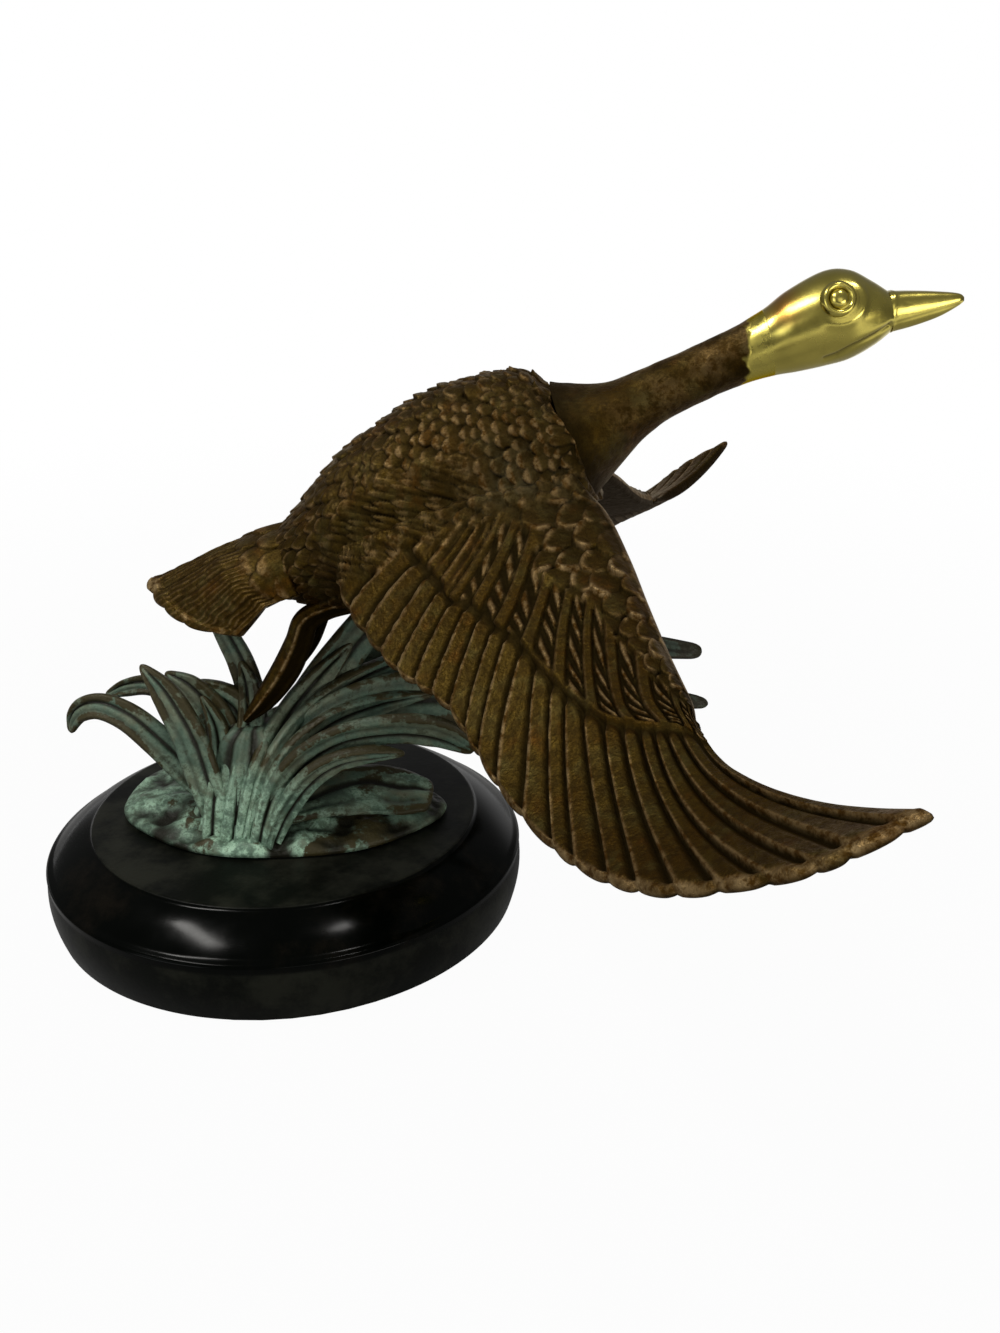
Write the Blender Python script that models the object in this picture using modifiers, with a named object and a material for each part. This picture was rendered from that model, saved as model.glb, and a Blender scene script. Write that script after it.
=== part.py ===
"""Flying goose figurine: a cast goose with spread wings over reeds, bolted to a round stone base.

Frame: origin at the centre of the base's underside, +Z up, +X where the goose is heading.
Lengths below are millimetres; MM turns them into Blender's metres.
Shapes of the goose and the reeds are given from the middle of the base's top face.
"""

import math

import bmesh
import bpy
from mathutils import Matrix, Vector

MM = 0.001
SEAT_GAP = 0.3

# Round stone base, turned: a band below, a crease, and a polished slope up to the flat top
BASE_RADIUS = 56.4
BASE_FOOT_INSET = 1.8
BASE_CREASE_INSET = 0.8
BASE_TOP_INSET = 11.1
BASE_BAND_HEIGHT = 13.1
BASE_SLOPE_HEIGHT = 7.6
BASE_RIM_BEVEL = 0.5
BASE_BULGE = 0.5
BASE_STEPS = 56
FELT_THICKNESS = 1.0
FELT_INSET = 1.6

# Fixing from below: stud, washer and nut in a counterbore
STUD_RADIUS = 2.5
STUD_COVER = 2.6
STUD_TAIL = 1.5
STUD_RECESS = 0.9
NUT_WALL = 1.2
NUT_HEIGHT = 4.0
WASHER_WIDTH = 3.2
WASHER_THICKNESS = 1.0
COUNTERBORE_CLEARANCE = 2.0
FIXING_STEPS = 32

# Cast mound under the reeds
MOUND_MARGIN = 6.8
MOUND_NEAR = 25.5
MOUND_FAR = 22.0
MOUND_SKEW = 0.3
MOUND_EDGE = 1.8
MOUND_HEIGHT = 6.2
MOUND_CENTRE_X = -0.8

# Castings
WING_THICKNESS = 3.2
WING_EDGE = 1.3
WING_FEATHERS = 24
FEATHER_RIDGE = 0.6
FEATHER_SCALLOP = 1.2
COVERT_STEP = 0.7
TAIL_THICKNESS = 3.0
TAIL_FEATHERS = 10
REED_THICKNESS = 2.4
BLADE_THINS_BELOW = 2.0
CROWN_FLUTES = 8
EYE_SEAT_DEPTH = 2.2
EYE_SOCKET_REACH = 3.0
EYE_STEPS = 20

# Height of the right wing's middle surface over the plan: it falls outwards, curls up and arches.
# Bends are given as a span: the height is the square of a distance divided by it.
WING_HEIGHT = 75.1
WING_FALL = 0.62
WING_FALL_START = 20.0
WING_CURL_SPAN = 294.0
WING_CURL_START = 42.0
WING_TWIST_SPAN = 164.0
WING_MIDDLE_X = 60.0
WING_CAMBER_SPAN = 125.0
WING_SWEEP = 1.5

# Plan of the right wing (x, distance from the middle plane), one point every third feather,
# from the root inside the body to the tip, and the height added in front of the ridge
WING_LEAD = [(60, 3), (68, 10.5), (74, 20), (78.3, 33), (81.6, 45.6), (84.5, 56.8), (86.9, 66.3),
             (88.2, 72), (88.4, 75.5), (88.3, 77.8)]
WING_RIDGE = [(36, 8), (33.7, 19.2), (43.4, 34.4), (52.4, 43.8), (59.8, 51.8), (67.6, 62.6), (74.8, 71.3),
              (82, 75.7), (86.8, 78), (89.8, 81.7)]
WING_TRAIL = [(22, 8), (20, 21), (33, 41), (46, 55), (57.5, 76), (70.5, 97.2), (81, 109.6),
              (90.5, 116.5), (101, 122), (113.2, 121.4)]
WING_LIFT = [(0,), (1.2,), (3.4,), (4.8,), (5.4,), (5.3,), (5,), (4.6,), (4.2,), (4,)]

# Ribs across the goose in its middle plane: x and z of the back, x and z of the belly, half width
TORSO_RIBS = [(-4, 60.5, -2, 58.5, 3), (-1.5, 65, 3, 54.5, 8.5),
              (5.5, 72, 11, 52, 13), (16, 83.6, 23, 52.2, 17.5),
              (26.6, 92.4, 35, 55, 19.8), (37.5, 98.8, 47.5, 60, 20.4),
              (51, 102.9, 62, 67, 19), (61.6, 101.9, 72.6, 77.2, 15.3)]
NECK_RIBS = [(61.8, 101.8, 72.8, 77.1, 15.3), (72.2, 101, 77.6, 84.6, 9.6),
             (79.3, 103.6, 84.6, 92.4, 6.8), (88.9, 107.6, 93.4, 97.4, 5.8),
             (97.5, 111.8, 101.6, 101.1, 5.9), (104.2, 115.7, 107.6, 102.9, 6.6)]
HEAD_RIBS = [(104.2, 115.7, 107.6, 102.9, 6.6), (108.8, 119.4, 112, 103.7, 7.7),
             (115.6, 123.2, 117.6, 105, 8.8), (120.6, 123.5, 122.2, 106.4, 8.7),
             (125.1, 121.5, 126.6, 109, 6.9), (128.4, 119.6, 129.7, 111.6, 4.9)]
BEAK_RIBS = [(128.4, 119.5, 129.7, 111.7, 4.4), (133, 119.6, 134.1, 112.9, 3.3),
             (138.2, 119.5, 138.9, 114.7, 2.4), (142.2, 119.2, 142.5, 116.8, 1.5),
             (143.4, 118.6, 143.5, 117.6, 0.6)]

# Right eye: where its axis meets the head, and the way the eye looks
EYE_PLACE = (117.8, -7.9, 118.6)
EYE_AXIS = (0.05, -0.93, 0.36)

# Outline of an eye, ball and lid ring, as radius and height over its place
EYE_OUTLINE = [(0.0, 1.15), (0.9, 1.0), (1.7, 0.5), (2.1, 0.05), (2.5, 0.5), (3.0, 0.7), (3.5, 0.4),
               (3.9, -0.5)]

# Tail, from the near side to the middle: root under the back, middle and rear edge
TAIL_ROOT = [(9.0, -11.0, 57.5), (7.5, -10.5, 62.5), (6.5, -6.8, 66.8), (6.0, 0.0, 68.8)]
TAIL_MIDDLE = [(2.0, -13.6, 54.8), (-4.0, -12.8, 58.0), (-8.0, -7.8, 61.6), (-10.5, 0.0, 63.0)]
TAIL_EDGE = [(-3.5, -15.5, 48.6), (-14.5, -12.0, 49.2), (-23.5, -6.5, 52.2), (-28.7, 0.0, 54.8)]

# Right leg, as for a reed
LEG = [(20, -7, 54.5, 2.4), (14, -8, 53, 2.4), (9.6, -9, 50.5, 2.8), (7.6, -9.3, 45.5, 3),
       (4.4, -9.6, 39, 3.2), (-0.6, -9.9, 32, 2.5), (-5.8, -10, 26.4, 0.8)]
LEG_THICKNESS = 2.8

# Root clump: x, y, z of each ring's middle, half length along x, half width along y
CROWN_RINGS = [(-6, -11.5, 3, 12.5, 9.5), (-6, -11.5, 7, 10.5, 8.2), (-5.8, -11, 13, 8.8, 7.2),
               (-5.5, -10, 19, 7.8, 7.2), (-5, -9, 23, 6.8, 6.8), (-4.6, -8.6, 25.4, 4.4, 4.8)]

# Reeds, from root to tip: x, y and z of the middle line, and half width
REED_LEFT_LOW = [(-10, -12, 5, 3.2), (-18, -13.5, 15, 3.8), (-25, -14, 23, 3.6), (-31.5, -13, 28, 3.3),
                 (-38, -12, 30, 3), (-43.5, -11, 28, 2.5), (-46.7, -10, 22.5, 0.9)]
REED_LEFT_BACK = [(-9, -3.5, 14, 2.4), (-17, -3, 22, 2.6), (-22.6, -3, 29, 2.6),
                  (-29.8, -2, 31.3, 2.4), (-36.3, -1, 30, 2), (-41.5, 0, 27.5, 0.8)]
REED_LEFT_TALL = [(-10.5, -18, 3, 3), (-13.4, -18, 15, 4.2), (-16.6, -17, 26, 4.5),
                  (-21.6, -15, 34.8, 3.8), (-27.4, -12.5, 40.5, 0.8)]
REED_LEFT_INNER = [(-7, -9.4, 15.6, 3), (-10.5, -9, 22, 3.8), (-14.2, -8, 28.5, 3.8),
                   (-19.2, -6.5, 33, 3), (-25, -4.5, 35.5, 0.8)]
REED_UNDER_TAIL = [(-4.5, -7, 16, 2.6), (-5.6, -3, 28, 3.2), (-7.8, -1.5, 36.5, 3.1),
                   (-12, 1.5, 43.5, 2.7), (-16.5, 4, 51, 1.8)]
REED_UNDER_BELLY = [(-1.5, -6.5, 14, 3.6), (3.5, -4, 23, 4.4), (10.5, -1, 33, 4.8), (18.5, 2, 43, 4.6),
                    (26.5, 4, 53, 3.8)]
REED_LONG_UPPER = [(0, -3, 11, 2.6), (6, 2, 21, 3.2), (13, 6, 28.5, 4), (24.3, 10, 34, 4.4),
                   (43.7, 13.5, 38.5, 3.8), (64.6, 16, 40, 3.4), (83.7, 18, 36.9, 3),
                   (98.7, 20, 34.8, 1.8)]
REED_LONG_LOWER = [(-2, -17, 7, 3), (3, -14, 17, 3.8), (9, -10.5, 24.5, 4.3), (17, -6.5, 29, 4.5),
                   (28.4, -1.5, 30.4, 5.2), (51.1, 5, 30.9, 5.6), (74.4, 9, 29, 2.8),
                   (100.3, 14, 23.8, 1.7)]
REED_RIGHT_UPPER = [(-2.5, -20.5, 4, 2.8), (2.5, -20, 12, 3.4), (8.5, -19, 20.3, 4),
                    (17, -17.5, 26, 4.1), (29, -15.5, 27.6, 3.7), (38.9, -13.5, 24.6, 2.9),
                    (46.8, -12, 21, 0.9)]
REED_RIGHT_LOWER = [(2, -22, 3, 2.2), (5.6, -21.6, 10.5, 2.8), (10.8, -20.9, 17.6, 3),
                    (17, -20, 21.8, 2.8), (24.7, -18.5, 23.3, 2.3), (31.7, -17, 23, 0.8)]
REED_BACK_LEFT = [(-10.5, -6, 6, 2.2), (-17, 2, 12, 3), (-22.5, 9, 14.5, 3.2), (-28, 15, 13, 2.6),
                  (-32, 19, 8.5, 0.8)]
REED_BACK_MIDDLE = [(-5, -5, 6, 2.8), (-5.5, 5, 13, 3.4), (-5, 15, 16, 3.4), (-4, 24, 14, 2.8),
                    (-3, 31, 8.5, 0.8)]
REED_BACK_RIGHT = [(0, -6, 5, 2.8), (8, 3, 11.5, 3.3), (16, 11, 14, 3.3), (24, 18, 12.5, 2.7),
                   (30, 24, 8.5, 0.8)]

# Name, shape and lean of each reed's face in degrees
REEDS = [
    ("reed_left_low", REED_LEFT_LOW, 25),
    ("reed_left_back", REED_LEFT_BACK, 30),
    ("reed_left_tall", REED_LEFT_TALL, 10),
    ("reed_left_inner", REED_LEFT_INNER, 12),
    ("reed_under_tail", REED_UNDER_TAIL, 5),
    ("reed_under_belly", REED_UNDER_BELLY, 10),
    ("reed_long_upper", REED_LONG_UPPER, -20),
    ("reed_long_lower", REED_LONG_LOWER, -20),
    ("reed_right_upper", REED_RIGHT_UPPER, 30),
    ("reed_right_lower", REED_RIGHT_LOWER, 30),
    ("reed_back_left", REED_BACK_LEFT, 35),
    ("reed_back_middle", REED_BACK_MIDDLE, 35),
    ("reed_back_right", REED_BACK_RIGHT, 35),
]

# Fallen leaf on the right half of the mound, as for a reed
LEAF = [(3, -17, 6, 3), (12, -8.5, 7.2, 8.5), (21, -3.4, 7, 9.6), (29, -2, 5.8, 8.8), (35.5, -1.7, 4.4, 5.2)]
LEAF_LEAN = 97
LEAF_THICKNESS = 2.0

BRONZE = (0.115, 0.062, 0.022)
BRASS = (0.72, 0.52, 0.16)
VERDIGRIS = (0.22, 0.36, 0.30)
STONE = (0.012, 0.012, 0.013)


def curve_at(points, t):
    """Point at t, counted in points, on a smooth curve through all the points."""
    last = len(points) - 1
    i = min(max(int(math.floor(t)), 0), last - 1)
    f = t - i
    a = points[max(i - 1, 0)]
    b = points[i]
    c = points[i + 1]
    d = points[min(i + 2, last)]
    return [
        0.5 * (2 * q + (r - p) * f + (2 * p - 5 * q + 4 * r - s) * f * f + (3 * q - p - 3 * r + s) * f ** 3)
        for p, q, r, s in zip(a, b, c, d)
    ]


def resample(points, steps):
    """The curve through the points, with this many steps from each point to the next."""
    spans = len(points) - 1
    return [curve_at(points, i / steps) for i in range(spans * steps + 1)]


def make_material(name, colour, metallic, roughness):
    material = bpy.data.materials.new(name)
    material.use_nodes = True
    shader = material.node_tree.nodes["Principled BSDF"]
    shader.inputs["Base Color"].default_value = (*colour, 1.0)
    shader.inputs["Metallic"].default_value = metallic
    shader.inputs["Roughness"].default_value = roughness
    material.diffuse_color = (*colour, 1.0)
    return material


def clear_scene():
    for obj in list(bpy.data.objects):
        bpy.data.objects.remove(obj, do_unlink=True)


def make_collection(name):
    collection = bpy.data.collections.new(name)
    bpy.context.scene.collection.children.link(collection)
    return collection


def add_object(name, mesh, colour=None, parent=None):
    """A piece in the parts' collection, or a hidden cutter where no colour is given."""
    obj = bpy.data.objects.new(name, mesh)
    if colour is None:
        cutters.objects.link(obj)
        obj.hide_render = True
        obj.display_type = "WIRE"
    else:
        parts.objects.link(obj)
        material = make_material(name, *colour)
        mesh.materials.append(material)
        mesh.shade_smooth()
        mesh.set_sharp_from_angle(angle=math.radians(38))
    obj.parent = parent
    return obj


def loft_mesh(name, rings):
    """Closed skin over rings of equal even count, each end closed by strips across the ring."""
    bm = bmesh.new()
    rows = [[bm.verts.new(Vector(point) * MM) for point in ring] for ring in rings]
    count = len(rows[0])
    for near, far in zip(rows, rows[1:]):
        for i in range(count):
            j = (i + 1) % count
            bm.faces.new((near[i], near[j], far[j], far[i]))
    for row in (rows[0], rows[-1]):
        for i in range(count // 2 - 1):
            bm.faces.new((row[i], row[i + 1], row[count - 2 - i], row[count - 1 - i]))
    bmesh.ops.recalc_face_normals(bm, faces=bm.faces)
    mesh = bpy.data.meshes.new(name)
    bm.to_mesh(mesh)
    bm.free()
    return mesh


def turned_object(name, profile, steps, colour=None, parent=None):
    """A profile of (radius, height) turned about Z. It runs down the outer side."""
    mesh = bpy.data.meshes.new(name)
    points = [(radius * MM, 0.0, height * MM) for radius, height in profile]
    edges = [(i, i + 1) for i in range(len(points) - 1)]
    if profile[0][0] > 0:
        edges.append((len(points) - 1, 0))
    mesh.from_pydata(points, edges, [])
    obj = add_object(name, mesh, colour, parent)
    screw = obj.modifiers.new("turn", "SCREW")
    screw.axis = "Z"
    screw.angle = math.tau
    screw.steps = steps
    screw.render_steps = steps
    screw.use_merge_vertices = True
    screw.merge_threshold = 0.00001
    return obj


def cut(obj, cutter, solver="EXACT"):
    boolean = obj.modifiers.new("cut by " + cutter.name, "BOOLEAN")
    boolean.operation = "DIFFERENCE"
    boolean.solver = solver
    boolean.object = cutter


def rib_rings(ribs, grow=0.0, steps=3, count=20):
    """Rings round the goose's middle plane from its ribs, grown outwards by a clearance."""
    rings = []
    for x_top, z_top, x_low, z_low, half_width in resample(ribs, steps):
        middle = Vector(((x_top + x_low) / 2, 0.0, (z_top + z_low) / 2))
        up = Vector(((x_top - x_low) / 2, 0.0, (z_top - z_low) / 2))
        up = up * ((up.length + grow) / up.length)
        side = Vector((0.0, half_width + grow, 0.0))
        angles = [math.tau * (i + 0.5) / count for i in range(count)]
        rings.append([middle + up * math.sin(a) + side * math.cos(a) for a in angles])
    return rings


def shifted(rings, amount):
    """The first ring moved back and the last one on, along the body, by this amount."""
    first = sum((Vector(p) for p in rings[0]), Vector()) / len(rings[0])
    second = sum((Vector(p) for p in rings[1]), Vector()) / len(rings[1])
    last = sum((Vector(p) for p in rings[-1]), Vector()) / len(rings[-1])
    before = sum((Vector(p) for p in rings[-2]), Vector()) / len(rings[-2])
    back = (first - second).normalized() * amount
    on = (last - before).normalized() * amount
    head = [Vector(p) + back for p in rings[0]]
    tail = [Vector(p) + on for p in rings[-1]]
    return [head] + rings[1:-1] + [tail]


def feather_rise(k):
    """Height of a feather's ridge at k, counted in feathers: 0 in a groove and 1 on a shaft."""
    f = k - math.floor(k)
    return math.sin(math.pi * f) ** 0.6 if 0.001 < f < 0.999 else 0.0


def feather_stations(first, feathers):
    """Stations across a fan: a root, then a groove and a shaft for each feather, then the edge."""
    stations = [first] if first < 0 else []
    for i in range(feathers):
        stations += [float(i), i + 0.5]
    return stations + [float(feathers)]


def fan_rings(surface, stations, thickness, edge, grow=0.0, ridges=True, step=0.0):
    """Rings round a fan of feathers. surface(k, v) is its middle: v runs 0, 1, 2 from the
    leading edge over the end of the small feathers to the trailing edge."""
    rows = [0.0, 0.15, 0.55, 0.97, 1.05, 1.35, 1.7, 2.0]
    rings = []
    for k in stations:
        rise = feather_rise(k) if ridges and 0 <= k < stations[-1] else 0.0
        top = []
        low = []
        for v in rows:
            along = surface(k + 0.05, v) - surface(k - 0.05, v)
            across = surface(k, v + 0.02) - surface(k, v - 0.02)
            normal = along.cross(across).normalized()
            if normal.z < 0:
                normal = -normal
            half = 0.5 * (thickness + (edge - thickness) * max(0.0, v - 0.5) / 1.5)
            if v == 0.0:
                half = 0.25 * thickness
            place = surface(k, v)
            if v == 0.0:
                place += (surface(k, 0.0) - surface(k, 0.1)).normalized() * grow
            if v == 2.0:
                out = (surface(k, 2.0) - surface(k, 1.9)).normalized()
                place += out * (grow - (FEATHER_SCALLOP * (1.0 - rise) if ridges else 0.0))
            raised = half + (FEATHER_RIDGE * rise if v > 1 else 0.0) + (step if 0.0 < v < 1 else 0.0)
            top.append(place + normal * (raised + grow))
            low.append(place - normal * (half + grow))
        rings.append(top + low[::-1])
    return rings


def right_wing_surface(k, v):
    """Middle of the right wing at feather k."""
    t = (k + 3.0) / 3.0
    lead = Vector(curve_at(WING_LEAD, t))
    ridge = Vector(curve_at(WING_RIDGE, t))
    trail = Vector(curve_at(WING_TRAIL, t))
    beyond = max(0.0, v - 1)
    x, out = ridge.lerp(trail, beyond) if v > 1 else lead.lerp(ridge, v)
    x -= WING_SWEEP * 6.75 * beyond * (1 - beyond) ** 2 * max(0.0, k / WING_FEATHERS) ** 2
    curl = max(0.0, out - WING_CURL_START) ** 2 / WING_CURL_SPAN
    twist = (x - WING_MIDDLE_X) * (out - WING_FALL_START) / WING_TWIST_SPAN
    camber = max(0.0, WING_MIDDLE_X - x) ** 2 / WING_CAMBER_SPAN
    lift = curve_at(WING_LIFT, t)[0] * (1 - beyond) ** 2
    fall = WING_FALL * (out - WING_FALL_START)
    return Vector((x, -out, WING_HEIGHT - fall + curl + twist - camber + lift))


def tail_surface(k, v):
    """Middle of the tail at feather k, mirrored past its middle."""
    half = TAIL_FEATHERS / 2
    t = 3.0 * (k / half) if k <= half else 3.0 * ((TAIL_FEATHERS - k) / half)
    root = Vector(curve_at(TAIL_ROOT, t))
    middle = Vector(curve_at(TAIL_MIDDLE, t))
    edge = Vector(curve_at(TAIL_EDGE, t))
    place = root.lerp(middle, v) if v <= 1 else middle.lerp(edge, v - 1)
    if k > half:
        place.y = -place.y
    return place


def mirrored(rings):
    return [[Vector((p[0], -p[1], p[2])) for p in ring] for ring in rings]


def blade_rings(line, thickness, lean, steps=3):
    """Rings of a reed or leaf: a channelled blade with a full root and a narrow tip."""
    shape = [(-1.0, 0.0), (-0.55, 0.5), (0.0, 0.25), (0.55, 0.5), (1.0, 0.0), (0.5, -0.42), (0.0, -0.5),
             (-0.5, -0.42)]
    stations = resample(line, steps)
    places = [Vector(station[:3]) for station in stations]
    rings = []
    for i, place in enumerate(places):
        half = stations[i][3]
        ahead = places[min(i + 1, len(places) - 1)] - places[max(i - 1, 0)]
        side = ahead.cross(Vector((0.0, 1.0, 0.0))).normalized()
        side = Matrix.Rotation(math.radians(lean), 3, ahead.normalized()) @ side
        face = side.cross(ahead).normalized()
        depth = thickness * min(1.0, half / BLADE_THINS_BELOW)
        rings.append([place + side * (a * half) + face * (b * depth) for a, b in shape])
    return rings


def mound_rings(grow=0.0, count=40):
    """Rings of the cast mound, from its underside up and in."""
    layers = [(0.4, 0.0), (1.0, 0.0), (1.0, 0.5), (0.985, 1.0), (0.93, 1.35), (0.78, 1.9), (0.55, 2.5),
              (0.28, 3.2)]
    rise = (MOUND_HEIGHT - MOUND_EDGE) / (layers[-1][1] - 1.0)
    half_length = BASE_RADIUS - BASE_TOP_INSET - MOUND_MARGIN
    rings = []
    for scale, level in layers:
        z = SEAT_GAP + MOUND_EDGE * min(level, 1.0) + rise * max(0.0, level - 1.0)
        z += grow if level > 0 else -grow
        ring = []
        for i in range(count):
            a = math.tau * (i + 0.5) / count
            wave = 1.0 + 0.018 * math.sin(3 * a + 0.6) + 0.012 * math.sin(7 * a + 2.0)
            x = MOUND_CENTRE_X + (half_length * wave * scale + grow) * math.cos(a)
            half_width = MOUND_NEAR if math.sin(a) < 0 else MOUND_FAR * (1.0 - MOUND_SKEW * math.cos(a))
            y = (half_width * wave * scale + grow) * math.sin(a)
            ring.append((x, y, z))
        rings.append(ring)
    return rings


def crown_rings(grow=0.0, count=32):
    """Rings of the fluted root clump that the reeds grow from."""
    rings = []
    for x, y, z, half_x, half_y in resample(CROWN_RINGS, 2):
        ring = []
        for i in range(count):
            a = math.tau * (i + 0.5) / count
            flute = 1.0 + 0.07 * math.cos(CROWN_FLUTES * a)
            along = (half_x * flute + grow) * math.cos(a)
            across = (half_y * flute + grow) * math.sin(a)
            ring.append((x + along, y + across, z))
        rings.append(ring)
    return rings


def cylinder_mesh(name, radius, low, high, segments):
    """An upright cylinder or prism from one height to another."""
    bm = bmesh.new()
    bmesh.ops.create_cone(bm, cap_ends=True, segments=segments, radius1=radius * MM, radius2=radius * MM,
                          depth=(high - low) * MM, matrix=Matrix.Translation((0, 0, (low + high) / 2 * MM)))
    mesh = bpy.data.meshes.new(name)
    bm.to_mesh(mesh)
    bm.free()
    return mesh


def base_height():
    return BASE_BAND_HEIGHT + BASE_SLOPE_HEIGHT


def counterbore_depth():
    """Room for the washer, the nut and the stud's tail, with the tail kept off the felt."""
    return SEAT_GAP + WASHER_THICKNESS + SEAT_GAP + NUT_HEIGHT + STUD_TAIL + STUD_RECESS


def build_base():
    """Turned stone base with a bore and counterbore for the fixing, and the felt under it."""
    foot = FELT_THICKNESS + SEAT_GAP
    crease = foot + BASE_BAND_HEIGHT
    top = foot + base_height()
    bore = STUD_RADIUS + SEAT_GAP
    counterbore = bore + WASHER_WIDTH + COUNTERBORE_CLEARANCE
    foot_radius = BASE_RADIUS - BASE_FOOT_INSET
    crease_radius = BASE_RADIUS - BASE_CREASE_INSET
    top_radius = BASE_RADIUS - BASE_TOP_INSET
    rim = Vector((top_radius, top - BASE_RIM_BEVEL))
    profile = [(bore, top), (top_radius - BASE_RIM_BEVEL, top), tuple(rim)]
    slope = Vector((crease_radius, crease)) - rim
    outward = Vector((-slope.y, slope.x)).normalized()
    for i in range(1, 5):
        f = i / 5
        profile.append(tuple(rim + slope * f + outward * (BASE_BULGE * 4 * f * (1 - f))))
    profile.append((crease_radius, crease))
    for i in range(1, 6):
        f = i / 5
        swell = math.sin(math.pi * min(1.0, 1.25 * f)) * BASE_CREASE_INSET
        radius = crease_radius + (foot_radius - crease_radius) * f ** 2 + swell
        profile.append((radius, crease - BASE_BAND_HEIGHT * f))
    ceiling = foot + counterbore_depth()
    profile += [(counterbore, foot), (counterbore, ceiling), (bore, ceiling)]
    turned_object("marble_base", profile, BASE_STEPS, (STONE, 0.0, 0.12))
    felt = foot_radius - FELT_INSET
    felt_profile = [(0.0, FELT_THICKNESS), (felt, FELT_THICKNESS), (felt, 0.0), (0.0, 0.0)]
    turned_object("felt_pad", felt_profile, BASE_STEPS, ((0.02, 0.03, 0.02), 0.0, 0.95))
    return top


def build_fixing(base_top):
    """Stud, washer and nut that hold the casting to the stone from below."""
    steel = ((0.55, 0.55, 0.56), 1.0, 0.35)
    hole = STUD_RADIUS + SEAT_GAP
    washer_top = FELT_THICKNESS + counterbore_depth()
    washer_low = washer_top - WASHER_THICKNESS
    nut_top = washer_low - SEAT_GAP
    nut_low = nut_top - NUT_HEIGHT
    rim = hole + WASHER_WIDTH
    washer_profile = [(hole, washer_top), (rim, washer_top), (rim, washer_low), (hole, washer_low)]
    turned_object("fixing_washer", washer_profile, FIXING_STEPS, steel)
    corner = (hole + NUT_WALL) / math.cos(math.pi / 6)
    nut = add_object("fixing_nut", cylinder_mesh("fixing_nut", corner, nut_low, nut_top, 6), steel)
    bore = cylinder_mesh("nut_bore", hole, nut_low - NUT_HEIGHT, nut_top + NUT_HEIGHT, FIXING_STEPS)
    cut(nut, add_object("nut_bore", bore))
    stud_top = base_top + SEAT_GAP + MOUND_HEIGHT - STUD_COVER
    stud_low = nut_low - STUD_TAIL
    stud_profile = [(0.0, stud_top), (STUD_RADIUS, stud_top), (STUD_RADIUS, stud_low), (0.0, stud_low)]
    turned_object("fixing_stud", stud_profile, FIXING_STEPS, steel)


def build_clump(figure):
    """Mound, leaf, root clump and reeds. The exact solver loses some of the thin blades, so they
    are cut with the manifold one."""
    green = (VERDIGRIS, 0.2, 0.6)
    mound = add_object("ground_plate", loft_mesh("ground_plate", mound_rings()), green, figure)
    hole_top = SEAT_GAP + MOUND_HEIGHT - STUD_COVER + SEAT_GAP
    hole_mesh = cylinder_mesh("stud_hole", STUD_RADIUS + SEAT_GAP, -MOUND_HEIGHT, hole_top, FIXING_STEPS)
    cut(mound, add_object("stud_hole", hole_mesh, None, figure))
    mound_mesh = loft_mesh("mound_cutter", mound_rings(SEAT_GAP))
    mound_cutter = add_object("mound_cutter", mound_mesh, None, figure)
    crown = add_object("root_clump", loft_mesh("root_clump", crown_rings()), green, figure)
    cut(crown, mound_cutter)
    crown_mesh = loft_mesh("crown_cutter", shifted_up(crown_rings(SEAT_GAP)))
    crown_cutter = add_object("crown_cutter", crown_mesh, None, figure)
    blades = [("fallen_leaf", blade_rings(LEAF, LEAF_THICKNESS, LEAF_LEAN))]
    blades += [(name, blade_rings(line, REED_THICKNESS, lean)) for name, line, lean in REEDS]
    built = {}
    for name, rings in blades:
        blade = add_object(name, loft_mesh(name, rings), green, figure)
        cut(blade, mound_cutter, "MANIFOLD")
        cut(blade, crown_cutter, "MANIFOLD")
        built[name] = blade
    return built


def shifted_up(rings):
    """The last ring raised by the seat gap, so that a grown copy is grown at its top too."""
    top = [(x, y, z + SEAT_GAP) for x, y, z in rings[-1]]
    return rings[:-1] + [top]


def build_eye(name, place, axis, figure):
    """A turned eye with a ball and a raised lid ring, on a short shank."""
    radius = EYE_OUTLINE[-1][0]
    profile = EYE_OUTLINE + [(radius, -EYE_SEAT_DEPTH), (0.0, -EYE_SEAT_DEPTH)]
    eye = turned_object(name, profile, EYE_STEPS, (BRASS, 1.0, 0.22), figure)
    wall = radius + SEAT_GAP
    seat = -EYE_SEAT_DEPTH - SEAT_GAP
    hollow = [(0.0, EYE_SOCKET_REACH), (wall, EYE_SOCKET_REACH), (wall, seat), (0.0, seat)]
    socket = turned_object(name + "_socket", hollow, EYE_STEPS, None, figure)
    turn = Vector(axis).to_track_quat("Z", "Y")
    for obj in (eye, socket):
        obj.rotation_mode = "QUATERNION"
        obj.rotation_quaternion = turn
        obj.location = Vector(place) * MM
    return socket


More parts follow.
